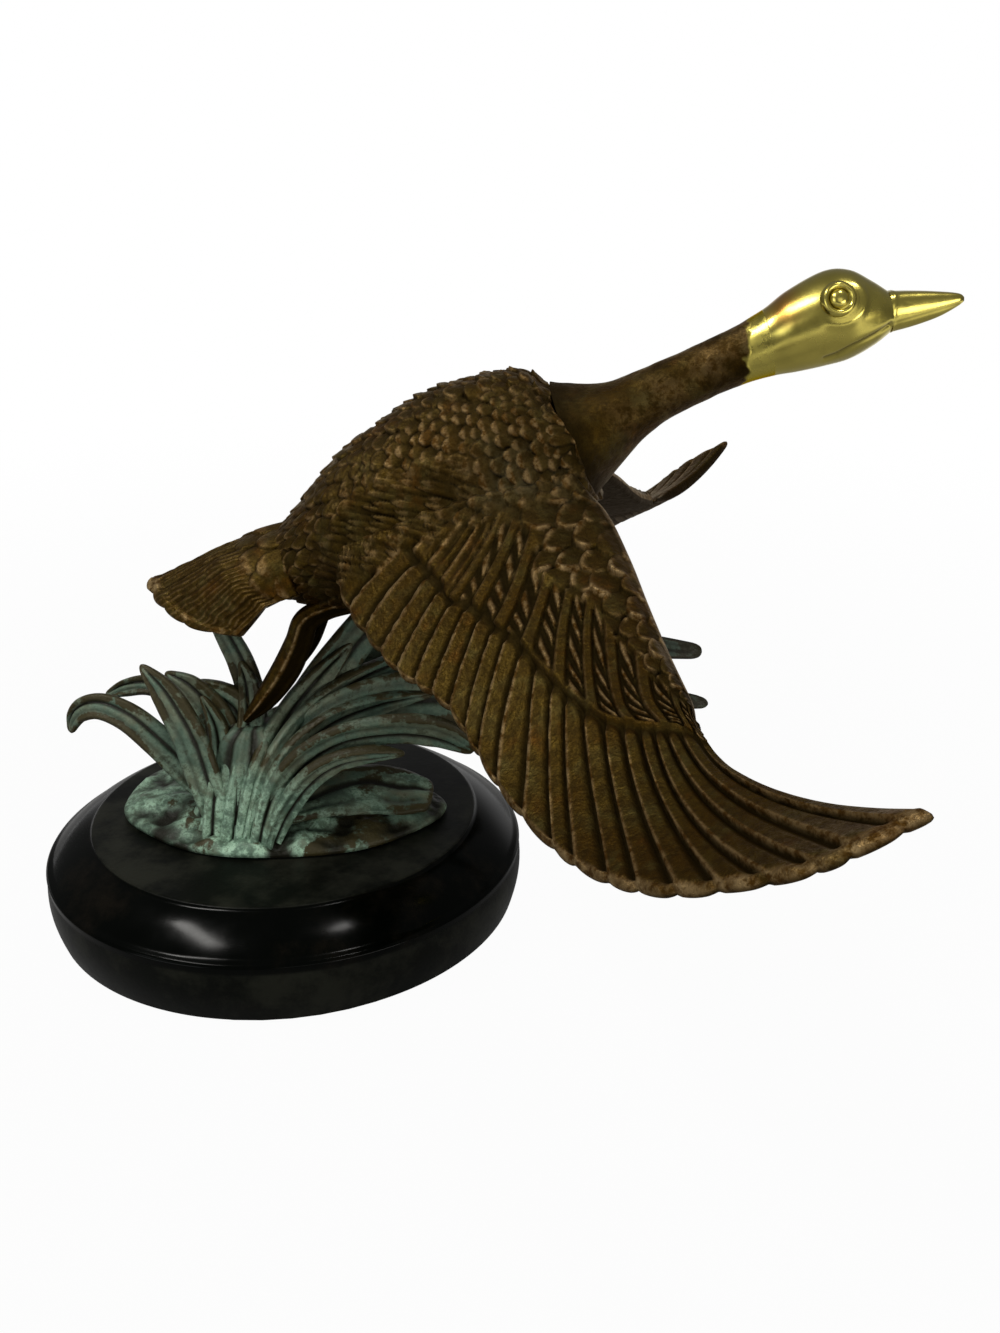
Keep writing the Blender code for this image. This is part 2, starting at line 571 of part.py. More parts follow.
def build_goose(figure, reeds):
    """Torso, neck, head, bill, eyes, tail, wings and legs."""
    bronze = (BRONZE, 0.75, 0.48)
    brass = (BRASS, 1.0, 0.22)
    torso_rings = rib_rings(TORSO_RIBS)
    neck_rings = rib_rings(NECK_RIBS, steps=3, count=20)
    head_rings = rib_rings(HEAD_RIBS, steps=4, count=20)
    beak_rings = rib_rings(BEAK_RIBS, steps=3, count=12)
    add_object("torso", loft_mesh("torso", torso_rings), bronze, figure)
    add_object("neck", loft_mesh("neck", shifted(neck_rings, -SEAT_GAP / 2)), bronze, figure)
    head = add_object("head", loft_mesh("head", shifted(head_rings, -SEAT_GAP / 2)), brass, figure)
    add_object("beak", loft_mesh("beak", shifted(beak_rings, -SEAT_GAP / 2)), brass, figure)
    x, y, z = EYE_PLACE
    dx, dy, dz = EYE_AXIS
    cut(head, build_eye("right_eye", (x, y, z), (dx, dy, dz), figure))
    cut(head, build_eye("left_eye", (x, -y, z), (dx, -dy, dz), figure))
    body_rings = rib_rings(TORSO_RIBS + NECK_RIBS[1:4], SEAT_GAP)
    body = add_object("body_cutter", loft_mesh("body_cutter", shifted(body_rings, SEAT_GAP)), None, figure)

    tail_stations = feather_stations(0.0, TAIL_FEATHERS)
    tail_skin = fan_rings(tail_surface, tail_stations, TAIL_THICKNESS, WING_EDGE)
    tail = add_object("tail", loft_mesh("tail", tail_skin), bronze, figure)
    cut(tail, body)
    tail_cut_rings = fan_rings(tail_surface, tail_stations, TAIL_THICKNESS, WING_EDGE, SEAT_GAP)
    tail_cutter = add_object("tail_cutter", loft_mesh("tail_cutter", tail_cut_rings), None, figure)

    stations = feather_stations(-3.0, WING_FEATHERS)
    wing_skin = fan_rings(right_wing_surface, stations, WING_THICKNESS, WING_EDGE, 0.0, True, COVERT_STEP)
    leg_skin = blade_rings(LEG, LEG_THICKNESS, 0)
    for side, turn in (("right", list), ("left", mirrored)):
        wing = add_object(side + "_wing", loft_mesh(side + "_wing", turn(wing_skin)), bronze, figure)
        cut(wing, body)
        leg = add_object(side + "_leg", loft_mesh(side + "_leg", turn(leg_skin)), bronze, figure)
        cut(leg, body)
    cut(reeds["reed_under_belly"], body, "MANIFOLD")
    cut(reeds["reed_under_tail"], tail_cutter, "MANIFOLD")


clear_scene()
parts = make_collection("flying_goose_figurine")
cutters = make_collection("cutters")
base_top_height = build_base()
build_fixing(base_top_height)
figure_origin = bpy.data.objects.new("figure_origin", None)
figure_origin.location = (0.0, 0.0, base_top_height * MM)
parts.objects.link(figure_origin)
clump_reeds = build_clump(figure_origin)
build_goose(figure_origin, clump_reeds)
bpy.context.view_layer.update()
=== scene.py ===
"""Looks of the flying goose figurine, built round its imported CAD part.

Shapes are given in millimetres in the part's own frame. The figure's heights are counted from the top
of the stone base, and link_piece() turns everything into metres.
"""
import math

import bpy
import numpy as np
from mathutils import Matrix, Vector
from mathutils.kdtree import KDTree


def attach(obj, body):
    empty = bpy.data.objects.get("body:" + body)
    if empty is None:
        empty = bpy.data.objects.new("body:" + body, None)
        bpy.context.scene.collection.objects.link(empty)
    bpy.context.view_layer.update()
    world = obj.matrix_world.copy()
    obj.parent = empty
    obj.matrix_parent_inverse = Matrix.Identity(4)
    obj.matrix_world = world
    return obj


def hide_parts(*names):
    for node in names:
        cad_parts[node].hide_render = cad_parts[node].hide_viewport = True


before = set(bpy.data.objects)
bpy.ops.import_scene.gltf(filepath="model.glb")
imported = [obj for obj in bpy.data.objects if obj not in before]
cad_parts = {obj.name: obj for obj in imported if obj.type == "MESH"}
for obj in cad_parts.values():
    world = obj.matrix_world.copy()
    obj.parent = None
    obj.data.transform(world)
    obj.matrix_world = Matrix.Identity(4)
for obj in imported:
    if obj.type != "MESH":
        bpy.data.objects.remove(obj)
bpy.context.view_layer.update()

MM = 0.001
BASE_TOP = 22.0
BODY = "root"
FLOOR_RADIUS = 0.7
# Edges sharper than this many degrees stay sharp
CAST_SHARP = 78
STONE_SHARP = 50

# Stone base
CREASE_RADIUS = 55.6
FOOT_RADIUS = 54.6
TOP_RADIUS = 45.3
FOOT_HEIGHT = 1.3
CREASE_HEIGHT = 14.4
BORE_RADIUS = 2.8
COUNTERBORE_RADIUS = 8.0
COUNTERBORE_TOP = 9.3
RIM_ROUND = 0.5
SLOPE_BULGE = 2.8
BAND_SWELL = 0.7

# Wing
WING_THICKNESS = 3.2
WING_EDGE = 1.3
WING_HEIGHT = 75.1
WING_FALL = 0.62
WING_FALL_START = 20.0
WING_CURL_SPAN = 294.0
WING_CURL_START = 42.0
WING_TWIST_SPAN = 164.0
WING_MIDDLE_X = 60.0
WING_CAMBER_SPAN = 125.0
WING_SWEEP = 1.5
WING_FIRST = -3.0
WING_LAST = 24.0
WING_LEAD = [(60, 3), (68, 10.5), (74, 20), (78.3, 33), (81.6, 45.6), (84.5, 56.8), (86.9, 66.3),
             (88.2, 72), (88.4, 75.5), (88.3, 77.8)]
WING_RIDGE = [(36, 8), (33.7, 19.2), (43.4, 34.4), (52.4, 43.8), (59.8, 51.8), (67.6, 62.6),
              (74.8, 71.3), (82, 75.7), (86.8, 78), (89.8, 81.7)]
WING_TRAIL = [(22, 8), (20, 21), (33, 41), (46, 55), (57.5, 76), (70.5, 97.2), (81, 109.6),
              (90.5, 116.5), (101, 122), (113.2, 121.4)]
WING_LIFT = [(0,), (1.2,), (3.4,), (4.8,), (5.4,), (5.3,), (5,), (4.6,), (4.2,), (4,)]

# Root of the wing: rows of it that can lie near the body, and the rise and reach of both at the joint
ROOT_ROWS = 130
ROOT_RISE = 2.8
ROOT_REACH = 4.0

# Heights of the relief
COVERT_RISE = 1.05
FLIGHT_RISE = 1.15
SHOULDER_SHARE = 1.8
SHOULDER_SHARE_OUT = 0.7
STREAK_SHARE = 2.1
BACK_RISE = 2.1
TAIL_RISE = 1.1

# Grooves between the flight feathers, near their roots, half way and near their tips
GROOVES = [(-3, -3, -3), (-2.3, -2.3, -2.3), (-1.6, -1.6, -1.5), (-0.9, -0.9, -0.8), (-0.1, -0.1, 0),
           (0.65, 0.65, 0.8), (1.4, 1.4, 1.65), (2.15, 2.25, 2.45), (2.95, 3.05, 3.3), (3.85, 3.9, 4.2),
           (4.75, 4.8, 5.05), (5.7, 5.75, 5.95), (6.75, 6.65, 6.85), (7.7, 7.5, 7.6), (8.9, 8.5, 8.6),
           (10, 9.9, 9.8), (11.15, 11, 11), (12.1, 11.9, 11.8), (13.4, 13.4, 13.2), (14.8, 14.7, 14.4),
           (16, 16.05, 15.9), (17.1, 17.4, 17.5), (18.1, 18.5, 19.1), (19.2, 20.1, 20.7),
           (20.6, 21.7, 21.8), (22.6, 23, 23.1), (24.2, 24.2, 24.2)]

# Small feathers on the wing: slant and bend by the place where they end on the ridge, their ends, how
# many near the body are narrow, and how far out from the lead the shoulder's feathers reach
COVERT_SLANT = [(-3, -4.5), (0.5, 0), (2, 2.5), (6, 5), (14, 8), (17, 8), (20.5, 1.5), (24, 0)]
COVERT_BEND = [(-3, 0), (2, 1), (6, 3.5), (14, 3), (20, 7), (24, 7)]
COVERT_ENDS = [-3.8, -2.7, -1.7, -0.8, 0.1, 0.95, 1.8, 2.7, 3.6, 4.8, 6.6, 8.7, 11, 13.4, 15.9, 18.4,
               20.9, 23.5, 26.5]
NARROW_COVERTS = 8
SHOULDER_REACH = [(-3, 0.70), (-1, 0.60), (3, 0.48), (6.5, 0.60), (8.5, 0.42), (13, 0.30), (18, 0.26),
                  (22, 0)]

# Share of a tile's width and length that one overlapping feather fills
FEATHER_HALF_WIDTH = 0.62
FEATHER_LENGTH = 0.95

# Ribs across the goose in its middle plane: x and z of the back, x and z of the belly, half width
TORSO_RIBS = [(-4, 60.5, -2, 58.5, 3), (-1.5, 65, 3, 54.5, 8.5), (5.5, 72, 11, 52, 13),
              (16, 83.6, 23, 52.2, 17.5), (26.6, 92.4, 35, 55, 19.8), (37.5, 98.8, 47.5, 60, 20.4),
              (51, 102.9, 62, 67, 19), (61.6, 101.9, 72.6, 77.2, 15.3)]
NECK_RIBS = [(61.8, 101.8, 72.8, 77.1, 15.3), (72.2, 101, 77.6, 84.6, 9.6),
             (79.3, 103.6, 84.6, 92.4, 6.8), (88.9, 107.6, 93.4, 97.4, 5.8),
             (97.5, 111.8, 101.6, 101.1, 5.9), (104.2, 115.7, 107.6, 102.9, 6.6)]
HEAD_RIBS = [(104.2, 115.7, 107.6, 102.9, 6.6), (108.8, 119.4, 112, 103.7, 7.7),
             (115.6, 123.2, 117.6, 105, 8.8), (120.6, 123.5, 122.2, 106.4, 8.7),
             (125.1, 121.5, 126.6, 109, 6.9), (128.4, 119.6, 129.7, 111.6, 4.9)]
BEAK_RIBS = [(128.4, 119.5, 129.7, 111.7, 4.4), (133, 119.6, 134.1, 112.9, 3.3),
             (138.2, 119.5, 138.9, 114.7, 2.4), (142.2, 119.2, 142.5, 116.8, 1.5),
             (143.4, 118.6, 143.5, 117.6, 0.6)]
MOUTH = [(116.5, 107), (118.5, 107.8), (121, 109.4), (125.5, 111.6), (128.5, 113.4)]
BILL_EDGE = [(128.4, 113.4), (133, 114.6), (138, 116), (143, 117.4)]
EYE_PLACE = (117.8, -7.9, 118.6)
EYE_AXIS = (0.05, -0.93, 0.36)
EYE_OUTLINE = [(0, 0.95), (0.5, 0.93), (0.95, 0.84), (1.35, 0.66), (1.65, 0.42), (1.85, 0.12), (1.95, 0),
               (2.1, 0.1), (2.3, 0.38), (2.55, 0.52), (2.8, 0.55), (3.05, 0.42), (3.3, 0.1),
               (3.6, -0.4), (3.6, -2.2), (0, -2.2)]

# Tail, from the near side to the middle
TAIL_FEATHERS = 10
TAIL_THICKNESS = 3.0
TAIL_ROOT = [(9, -11, 57.5), (7.5, -10.5, 62.5), (6.5, -6.8, 66.8), (6, 0, 68.8)]
TAIL_MIDDLE = [(2, -13.6, 54.8), (-4, -12.8, 58), (-8, -7.8, 61.6), (-10.5, 0, 63)]
TAIL_EDGE = [(-3.5, -15.5, 48.6), (-14.5, -12, 49.2), (-23.5, -6.5, 52.2), (-28.7, 0, 54.8)]

LEG = [(20, -7, 54.5, 2.4), (14, -8, 53, 2.4), (9.6, -9, 50.5, 2.8), (7.6, -9.3, 45.5, 3),
       (4.4, -9.6, 39, 3.2), (-0.6, -9.9, 32, 2.5), (-5.8, -10, 26.4, 0.8)]
CROWN_RINGS = [(-6, -11.5, 3, 12.5, 9.5), (-6, -11.5, 7, 10.5, 8.2), (-5.8, -11, 13, 8.8, 7.2),
               (-5.5, -10, 19, 7.8, 7.2), (-5, -9, 23, 6.8, 6.8), (-4.6, -8.6, 25.4, 4.4, 4.8)]

# Name, lean of the face in degrees, and middle line with half width, of each reed
REEDS = [
    ("reed_left_low", 25, [
        (-10, -12, 5, 3.2), (-18, -13.5, 15, 3.8), (-25, -14, 23, 3.6), (-31.5, -13, 28, 3.3),
        (-38, -12, 30, 3), (-43.5, -11, 28, 2.5), (-46.7, -10, 22.5, 0.9)]),
    ("reed_left_back", 30, [
        (-9, -3.5, 14, 2.4), (-17, -3, 22, 2.6), (-22.6, -3, 29, 2.6), (-29.8, -2, 31.3, 2.4),
        (-36.3, -1, 30, 2), (-41.5, 0, 27.5, 0.8)]),
    ("reed_left_tall", 10, [
        (-10.5, -18, 3, 3), (-13.4, -18, 15, 3.8), (-16.6, -17, 26, 3.8), (-21.6, -15, 34.8, 3.1),
        (-27.4, -12.5, 40.5, 0.8)]),
    ("reed_left_inner", 12, [
        (-7, -9.4, 15.6, 3), (-10.5, -9, 22, 3.8), (-14.2, -8, 28.5, 3.8), (-19.2, -6.5, 33, 3),
        (-25, -4.5, 35.5, 0.8)]),
    ("reed_under_tail", 5, [
        (-4.5, -7, 16, 2.6), (-5.6, -3, 28, 3.2), (-7.8, -1.5, 36.5, 3.1), (-12, 1.5, 43.5, 2.7),
        (-16.5, 4, 51, 1.8)]),
    ("reed_under_belly", 10, [
        (-1.5, -6.5, 14, 3.6), (3.5, -4, 23, 4.4), (10.5, -1, 33, 4.8), (18.5, 2, 43, 4.6),
        (26.5, 4, 53, 3.8)]),
    ("reed_long_upper", -20, [
        (0, -3, 11, 2.6), (6, 2, 21, 3.2), (13, 6, 28.5, 4), (24.3, 10, 34, 4.4), (43.7, 13.5, 38.5, 3.8),
        (64.6, 16, 40, 3.4), (83.7, 18, 36.9, 3), (98.7, 20, 34.8, 1.8)]),
    ("reed_long_lower", -20, [
        (-2, -17, 7, 3), (3, -14, 17, 3.8), (9, -10.5, 24.5, 4.3), (17, -6.5, 29, 4.5),
        (28.4, -1.5, 29.8, 6), (51.1, 5, 29.8, 7.4), (74.4, 9, 29, 2.8), (100.3, 14, 23.8, 1.7)]),
    ("reed_right_upper", 30, [
        (-2.5, -20.5, 4, 2.8), (2.5, -20, 12, 3.4), (8.5, -19, 20.3, 4), (17, -17.5, 26, 4.1),
        (29, -15.5, 28.1, 4.8), (38.9, -13.5, 26.6, 5.2), (46.8, -12, 22.3, 2.8)]),
    ("reed_right_lower", 30, [
        (2, -22, 3, 2.2), (5.6, -21.6, 10.5, 2.8), (10.8, -20.9, 17.6, 3), (17, -20, 21.8, 2.8),
        (24.7, -18.5, 23.3, 2.3), (31.7, -17, 23, 0.8)]),
    ("reed_back_left", 35, [
        (-10.5, -6, 6, 2.2), (-17, 2, 12, 3), (-22.5, 9, 14.5, 3.2), (-28, 15, 13, 2.6),
        (-32, 19, 8.5, 0.8)]),
    ("reed_back_middle", 35, [
        (-5, -5, 6, 2.8), (-5.5, 5, 13, 3.4), (-5, 15, 16, 3.4), (-4, 24, 14, 2.8), (-3, 31, 8.5, 0.8)]),
    ("reed_back_right", 35, [
        (0, -6, 5, 2.8), (8, 3, 11.5, 3.3), (16, 11, 14, 3.3), (24, 18, 12.5, 2.7), (30, 24, 8.5, 0.8)]),
]
# Stems down the front of the clump: middle line with half width
STEMS = [
    [(-5, -6.5, 22, 3.4), (-8.5, -5.5, 28, 3.8), (-13, -5, 31, 3), (-18, -4.6, 33.2, 1.2)],
    [(-11.4, -20.4, 1.2, 3.2), (-10.8, -18.4, 10, 3), (-10.2, -14.6, 18, 2.8), (-12, -10.6, 26, 2.2),
     (-15.5, -9, 32, 0.7)],
    [(-7, -21.4, 0.8, 3.4), (-5.6, -18.9, 10, 3.4), (-4.6, -15, 18.5, 3), (-4.8, -8, 26, 3),
     (-6, -3.6, 33, 2.4), (-8, -2, 38, 0.7)],
    [(-4.4, -21.8, 0.8, 2.8), (-2, -19, 12, 3), (0.6, -14, 20, 3.6), (4.5, -6, 27, 3.8), (11, -1.6, 35, 3),
     (17.5, 0.6, 42, 0.7)],
    [(-2.6, -22.2, 0.8, 2.6), (-0.4, -20, 10, 2.8), (3, -16, 19, 3.6), (9, -8, 26.5, 3.8),
     (17, -1, 32, 3.4), (27, 5.6, 35.5, 2.4), (38, 11, 37.5, 0.7)],
    [(-0.6, -22.8, 0.8, 2.6), (1, -21.8, 8, 2.8), (4, -19.4, 16.5, 3.2), (8.4, -15.5, 22.5, 3.6),
     (16, -10, 27.3, 3.4), (26, -4.6, 29.8, 2.2), (36, -0.5, 30.4, 0.7)],
]
LEAF = [(3, -17, 6, 3), (12, -8.5, 7.2, 8.5), (21, -3.4, 7, 9.6), (29, -2, 5.8, 8.8), (35.5, -1.7, 4.4, 5.2)]
LEAF_LEAN = 97
REED_THICKNESS = 2.4
STEM_THICKNESS = 3.4
LEAF_THICKNESS = 2.0
LEG_THICKNESS = 2.8
BLADE_POINTS = 64


def curve(points, t):
    """Points at t, counted in points, on a smooth curve through all the points."""
    p = np.array(points, float)
    t = np.asarray(t, float)
    last = len(p) - 1
    i = np.clip(np.floor(t).astype(int), 0, last - 1)
    f = (t - i)[..., None]
    a, b, c, d = p[np.maximum(i - 1, 0)], p[i], p[i + 1], p[np.minimum(i + 2, last)]
    return 0.5 * (2 * b + (c - a) * f + (2 * a - 5 * b + 4 * c - d) * f ** 2
                  + (3 * b - a - 3 * c + d) * f ** 3)


def line_at(points, x):
    """Value at x on the straight lines between points of (x, value)."""
    return np.interp(x, [p[0] for p in points], [p[1] for p in points])


def held(x):
    """Values limited to 0 to 1."""
    return np.clip(x, 0, 1)


def smooth(low, high, x):
    """Rise from 0 at low to 1 at high with soft ends."""
    t = held((np.asarray(x, float) - low) / (high - low))
    return t * t * (3 - 2 * t)


def fall(low, high, x):
    """Fall from 1 at low to 0 at high with soft ends."""
    return 1 - smooth(low, high, x)


def bump(x, middle, width):
    """A bell of height 1."""
    return np.exp(-((np.asarray(x, float) - middle) / width) ** 2)


def chance(a, b, seed):
    """A steady scattered value from 0 to 1 for whole numbers a and b."""
    h = np.asarray(a).astype(np.int64) * 73856093 ^ np.asarray(b).astype(np.int64) * 19349663
    h = (h ^ (seed * 83492791)) & 0x7FFFFFFF
    h = (h * 1103515245 + 12345) & 0x7FFFFFFF
    h = ((h >> 7) ^ h) & 0x7FFFFFFF
    return (h % 10007) / 10006


def noise(points, size, seed=0):
    """Smooth scattered values from -1 to 1 over points, with lumps of this size."""
    p = np.asarray(points, float) / size + 31.7 * seed
    i = np.floor(p).astype(np.int64)
    f = p - i
    f = f * f * (3 - 2 * f)
    shares = (1 - f, f)
    total = 0
    for dx, dy, dz in np.ndindex(2, 2, 2):
        weight = shares[dx][..., 0] * shares[dy][..., 1] * shares[dz][..., 2]
        total = total + weight * chance(i[..., 0] + dx, i[..., 1] + dy + 7919 * (i[..., 2] + dz), seed)
    return total * 2 - 1


def plane(a, b):
    """Points for noise over two measures."""
    return np.stack([a, b, 0 * b], -1)


def unit(vectors):
    return vectors / np.maximum(np.linalg.norm(vectors, axis=-1, keepdims=True), 1e-9)


def ring_angles(count):
    return math.tau * (np.arange(count) + 0.5) / count


def ring_normals(rings):
    """Outward normals of a skin over closed rings."""
    along = np.gradient(rings, axis=0)
    around = np.roll(rings, -1, axis=1) - np.roll(rings, 1, axis=1)
    normals = unit(np.cross(around, along))
    outward = rings - rings.mean(axis=1, keepdims=True)
    return normals if (normals * outward).sum() > 0 else -normals


def raised(rings, height):
    """The rings' points moved outwards by their heights."""
    return rings + ring_normals(rings) * height[..., None]


def both_faces(upper, lower):
    """Rows of an upper face that run on backwards over the lower face."""
    return np.concatenate([upper, lower[:, ::-1]], axis=1)


def turned_rings(profile, count):
    """Rings of a profile of (radius, height) turned about Z."""
    a = math.tau * np.arange(count) / count
    p = np.array(profile, float)
    radius = np.maximum(p[:, :1], 0.01)
    return np.stack([radius * np.cos(a), radius * np.sin(a), p[:, 1:] + 0 * a], -1)


def link_piece(name, node, slot, points, faces, values, sharp):
    """A mesh that stands for a CAD node, with values for each point that its material reads by name."""
    mesh = bpy.data.meshes.new(name)
    mesh.from_pydata((points * MM).tolist(), [], faces.tolist())
    for key, value in values.items():
        layer = mesh.attributes.new(key, "FLOAT", "POINT")
        layer.data.foreach_set("value", value.astype(np.float32).ravel())
    mesh.shade_smooth()
    mesh.set_sharp_from_angle(angle=math.radians(sharp))
    mesh.materials.append(MATERIALS[slot])
    obj = bpy.data.objects.new(name, mesh)
    bpy.context.scene.collection.objects.link(obj)
    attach(obj, BODY)
    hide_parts(node)


def make_cast(node, slot, *skins):
    """A piece made of closed skins. A skin is (rings, values), with an even count in each ring."""
    all_points, all_faces, all_values = [], [], {}
    start = 0
    for rings, values in skins:
        n, m = rings.shape[:2]
        i, j = np.meshgrid(np.arange(n - 1), np.arange(m), indexing="ij")
        k = (j + 1) % m
        quads = np.stack([i * m + j, i * m + k, (i + 1) * m + k, (i + 1) * m + j], -1).reshape(-1, 4)
        s = np.arange(m // 2 - 1)
        cap = np.stack([s + 1, s, m - 1 - s, m - 2 - s], -1)
        faces = np.concatenate([quads, cap, (n - 1) * m + cap[:, [1, 0, 3, 2]]])
        points = rings.reshape(-1, 3)
        a, b, c, d = (points[faces[:, q]] for q in range(4))
        volume = (np.cross(a, b) * c).sum() + (np.cross(a, c) * d).sum()
        if volume < 0:
            faces = faces[:, ::-1]
        all_points.append(points)
        all_faces.append(faces + start)
        start += n * m
        for key, value in values.items():
            all_values.setdefault(key, []).append(np.broadcast_to(value, (n, m)).ravel())
    values = {key: np.concatenate(value) for key, value in all_values.items()}
    link_piece(node + "_cast", node, slot, np.concatenate(all_points), np.concatenate(all_faces), values,
               CAST_SHARP)


# Materials


def feed(tree, node, inputs):
    """Give a node's inputs these values or links."""
    for key, value in inputs.items():
        if isinstance(value, bpy.types.NodeSocket):
            tree.links.new(value, node.inputs[key])
        else:
            node.inputs[key].default_value = value


def add(tree, kind, inputs=None, **settings):
    """A node with these settings and inputs."""
    node = tree.nodes.new(kind)
    for key, value in settings.items():
        setattr(node, key, value)
    feed(tree, node, inputs or {})
    return node


def place_of(tree):
    return add(tree, "ShaderNodeTexCoord").outputs["Object"]


def value_of(tree, name):
    return add(tree, "ShaderNodeAttribute", attribute_name=name).outputs["Fac"]


def cloud(tree, scale, detail=4, rough=0.6):
    inputs = {"Vector": place_of(tree), "Scale": scale, "Detail": detail, "Roughness": rough}
    return add(tree, "ShaderNodeTexNoise", inputs).outputs["Fac"]


def between(tree, value, low, high, to_low=0, to_high=1):
    """A value that goes softly from to_low to to_high while the given one goes from low to high."""
    inputs = {"Value": value, "From Min": low, "From Max": high, "To Min": to_low, "To Max": to_high}
    return add(tree, "ShaderNodeMapRange", inputs, interpolation_type="SMOOTHSTEP").outputs["Result"]


def patches(tree, scale, low, high, to_low=0, to_high=1, detail=4, rough=0.6):
    """Soft-edged patches of this scale."""
    return between(tree, cloud(tree, scale, detail, rough), low, high, to_low, to_high)


def work(tree, operation, a, b):
    return add(tree, "ShaderNodeMath", {0: a, 1: b}, operation=operation).outputs[0]


def blend(tree, factor, a, b):
    """Colour from a to b, each a link or (red, green, blue)."""
    a, b = (c if isinstance(c, bpy.types.NodeSocket) else (*c, 1) for c in (a, b))
    return add(tree, "ShaderNodeMix", {0: factor, 6: a, 7: b}, data_type="RGBA").outputs[2]


def bumps(tree, height, distance):
    return add(tree, "ShaderNodeBump", {"Height": height, "Distance": distance * MM}).outputs["Normal"]


def make_material(name, paint):
    """A material whose shader gets the values and links that paint(tree) gives."""
    material = bpy.data.materials.new(name)
    material.use_nodes = True
    tree = material.node_tree
    feed(tree, tree.nodes["Principled BSDF"], paint(tree))
    return material


def bronze(tree):
    """Brown patina: nearly black in the hollows, the gaps and on lower faces, which is painted shade carried
    by the height value, olive brown on the feathers, golden where worn, a greenish grey haze where body
    and wing meet, and bright metal at the neck's end."""
    height, worn, bright = (value_of(tree, name) for name in ("height", "worn", "bright"))
    speck = cloud(tree, 520, 4, 0.7)
    brown = blend(tree, patches(tree, 55, 0.38, 0.62), (0.034, 0.0158, 0.0014), (0.038, 0.0220, 0.0030))
    brown = blend(tree, patches(tree, 120, 0.55, 0.72, detail=3), brown, (0.055, 0.021, 0.0025))
    brown = blend(tree, patches(tree, 170, 0.48, 0.70), brown, (0.046, 0.034, 0.0090))
    brown = blend(tree, between(tree, speck, 0.35, 0.62, 0.75, 0), brown, (0.013, 0.006, 0.0013))
    # Painted shade: low height values darken to near black in the hollows, the gaps and on lower faces
    colour = blend(tree, between(tree, height, 0.12, 0.85), (0.0026, 0.001, 0.0002), brown)
    haze = work(tree, "MULTIPLY", value_of(tree, "green"), between(tree, speck, 0.36, 0.60, 0.2, 1))
    colour = blend(tree, haze, colour, (0.062, 0.061, 0.040))
    colour = blend(tree, between(tree, worn, 0.03, 0.35, 0, 0.35), colour, (0.090, 0.036, 0.006))
    rubbed = work(tree, "MULTIPLY", worn, between(tree, speck, 0.38, 0.60))
    colour = blend(tree, rubbed, colour, (0.28, 0.195, 0.095))
    colour = blend(tree, bright, colour, (0.58, 0.49, 0.11))
    rough = work(tree, "ADD", between(tree, speck, 0.3, 0.7, 0.50, 0.34),
                 between(tree, height, 0.1, 0.7, 0.3, 0))
    rough = work(tree, "SUBTRACT", rough, work(tree, "MULTIPLY", bright, 0.17))
    grain = work(tree, "ADD", speck, work(tree, "MULTIPLY", cloud(tree, 1300, 3), 0.5))
    grain = work(tree, "MULTIPLY", grain, between(tree, bright, 0, 1, 1, 0.1))
    return {"Base Color": colour, "Metallic": between(tree, bright, 0, 1, 0.4, 1),
            "Roughness": rough, "Specular IOR Level": 0.3, "Specular Tint": (0.87, 0.60, 0.12, 1),
            "Normal": bumps(tree, grain, 0.3)}


def brass(tree):
    """Satin brass with a soft haze, darkened in the folds as painted shade, and warmer where a thin
    patina is left.
    """
    metal = blend(tree, patches(tree, 90, 0.35, 0.7, detail=5), (0.61, 0.51, 0.115), (0.50, 0.42, 0.095))
    # Painted shade: low height values, in creases and grooves, darken the brass
    metal = blend(tree, between(tree, value_of(tree, "height"), 0, 0.8), (0.09, 0.065, 0.015), metal)
    return {"Base Color": blend(tree, value_of(tree, "patina"), metal, (0.50, 0.27, 0.06)), "Metallic": 1,
            "Roughness": patches(tree, 160, 0.3, 0.75, 0.21, 0.29),
            "Normal": bumps(tree, cloud(tree, 420, 3), 0.02)}


def verdigris(tree):
    """Pale green patina, rubbed to dark brown on rims and in grooves, palest near the root, and darkened
    where the height value is low, which is painted shade.
    """
    height, rim, pale = (value_of(tree, name) for name in ("height", "rim", "pale"))
    mottle = cloud(tree, 300, 6, 0.72)
    green = blend(tree, patches(tree, 100, 0.4, 0.6), (0.072, 0.114, 0.080), (0.122, 0.130, 0.082))
    mint = blend(tree, between(tree, mottle, 0.42, 0.58), (0.16, 0.27, 0.19), (0.40, 0.60, 0.44))
    pale = work(tree, "MULTIPLY", pale, between(tree, mottle, 0.34, 0.58, 0.3, 1))
    colour = blend(tree, pale, green, mint)
    colour = blend(tree, between(tree, mottle, 0.54, 0.64, 0, 0.7), colour, (0.045, 0.050, 0.026))
    bare = work(tree, "ADD", rim, patches(tree, 260, 0.3, 0.7, -0.42, 0.42, 5, 0.7))
    colour = blend(tree, between(tree, bare, 0.38, 0.72), colour, (0.044, 0.036, 0.012))
    # Painted shade: low height values darken the green towards near black
    colour = blend(tree, between(tree, height, 0.2, 1), (0.009, 0.0085, 0.0035), colour)
    return {"Base Color": colour, "Metallic": 0.1, "Roughness": between(tree, mottle, 0.3, 0.7, 0.40, 0.66),
            "Specular IOR Level": 0.3,
            "Normal": bumps(tree, work(tree, "ADD", mottle, cloud(tree, 1100, 2)), 0.2)}


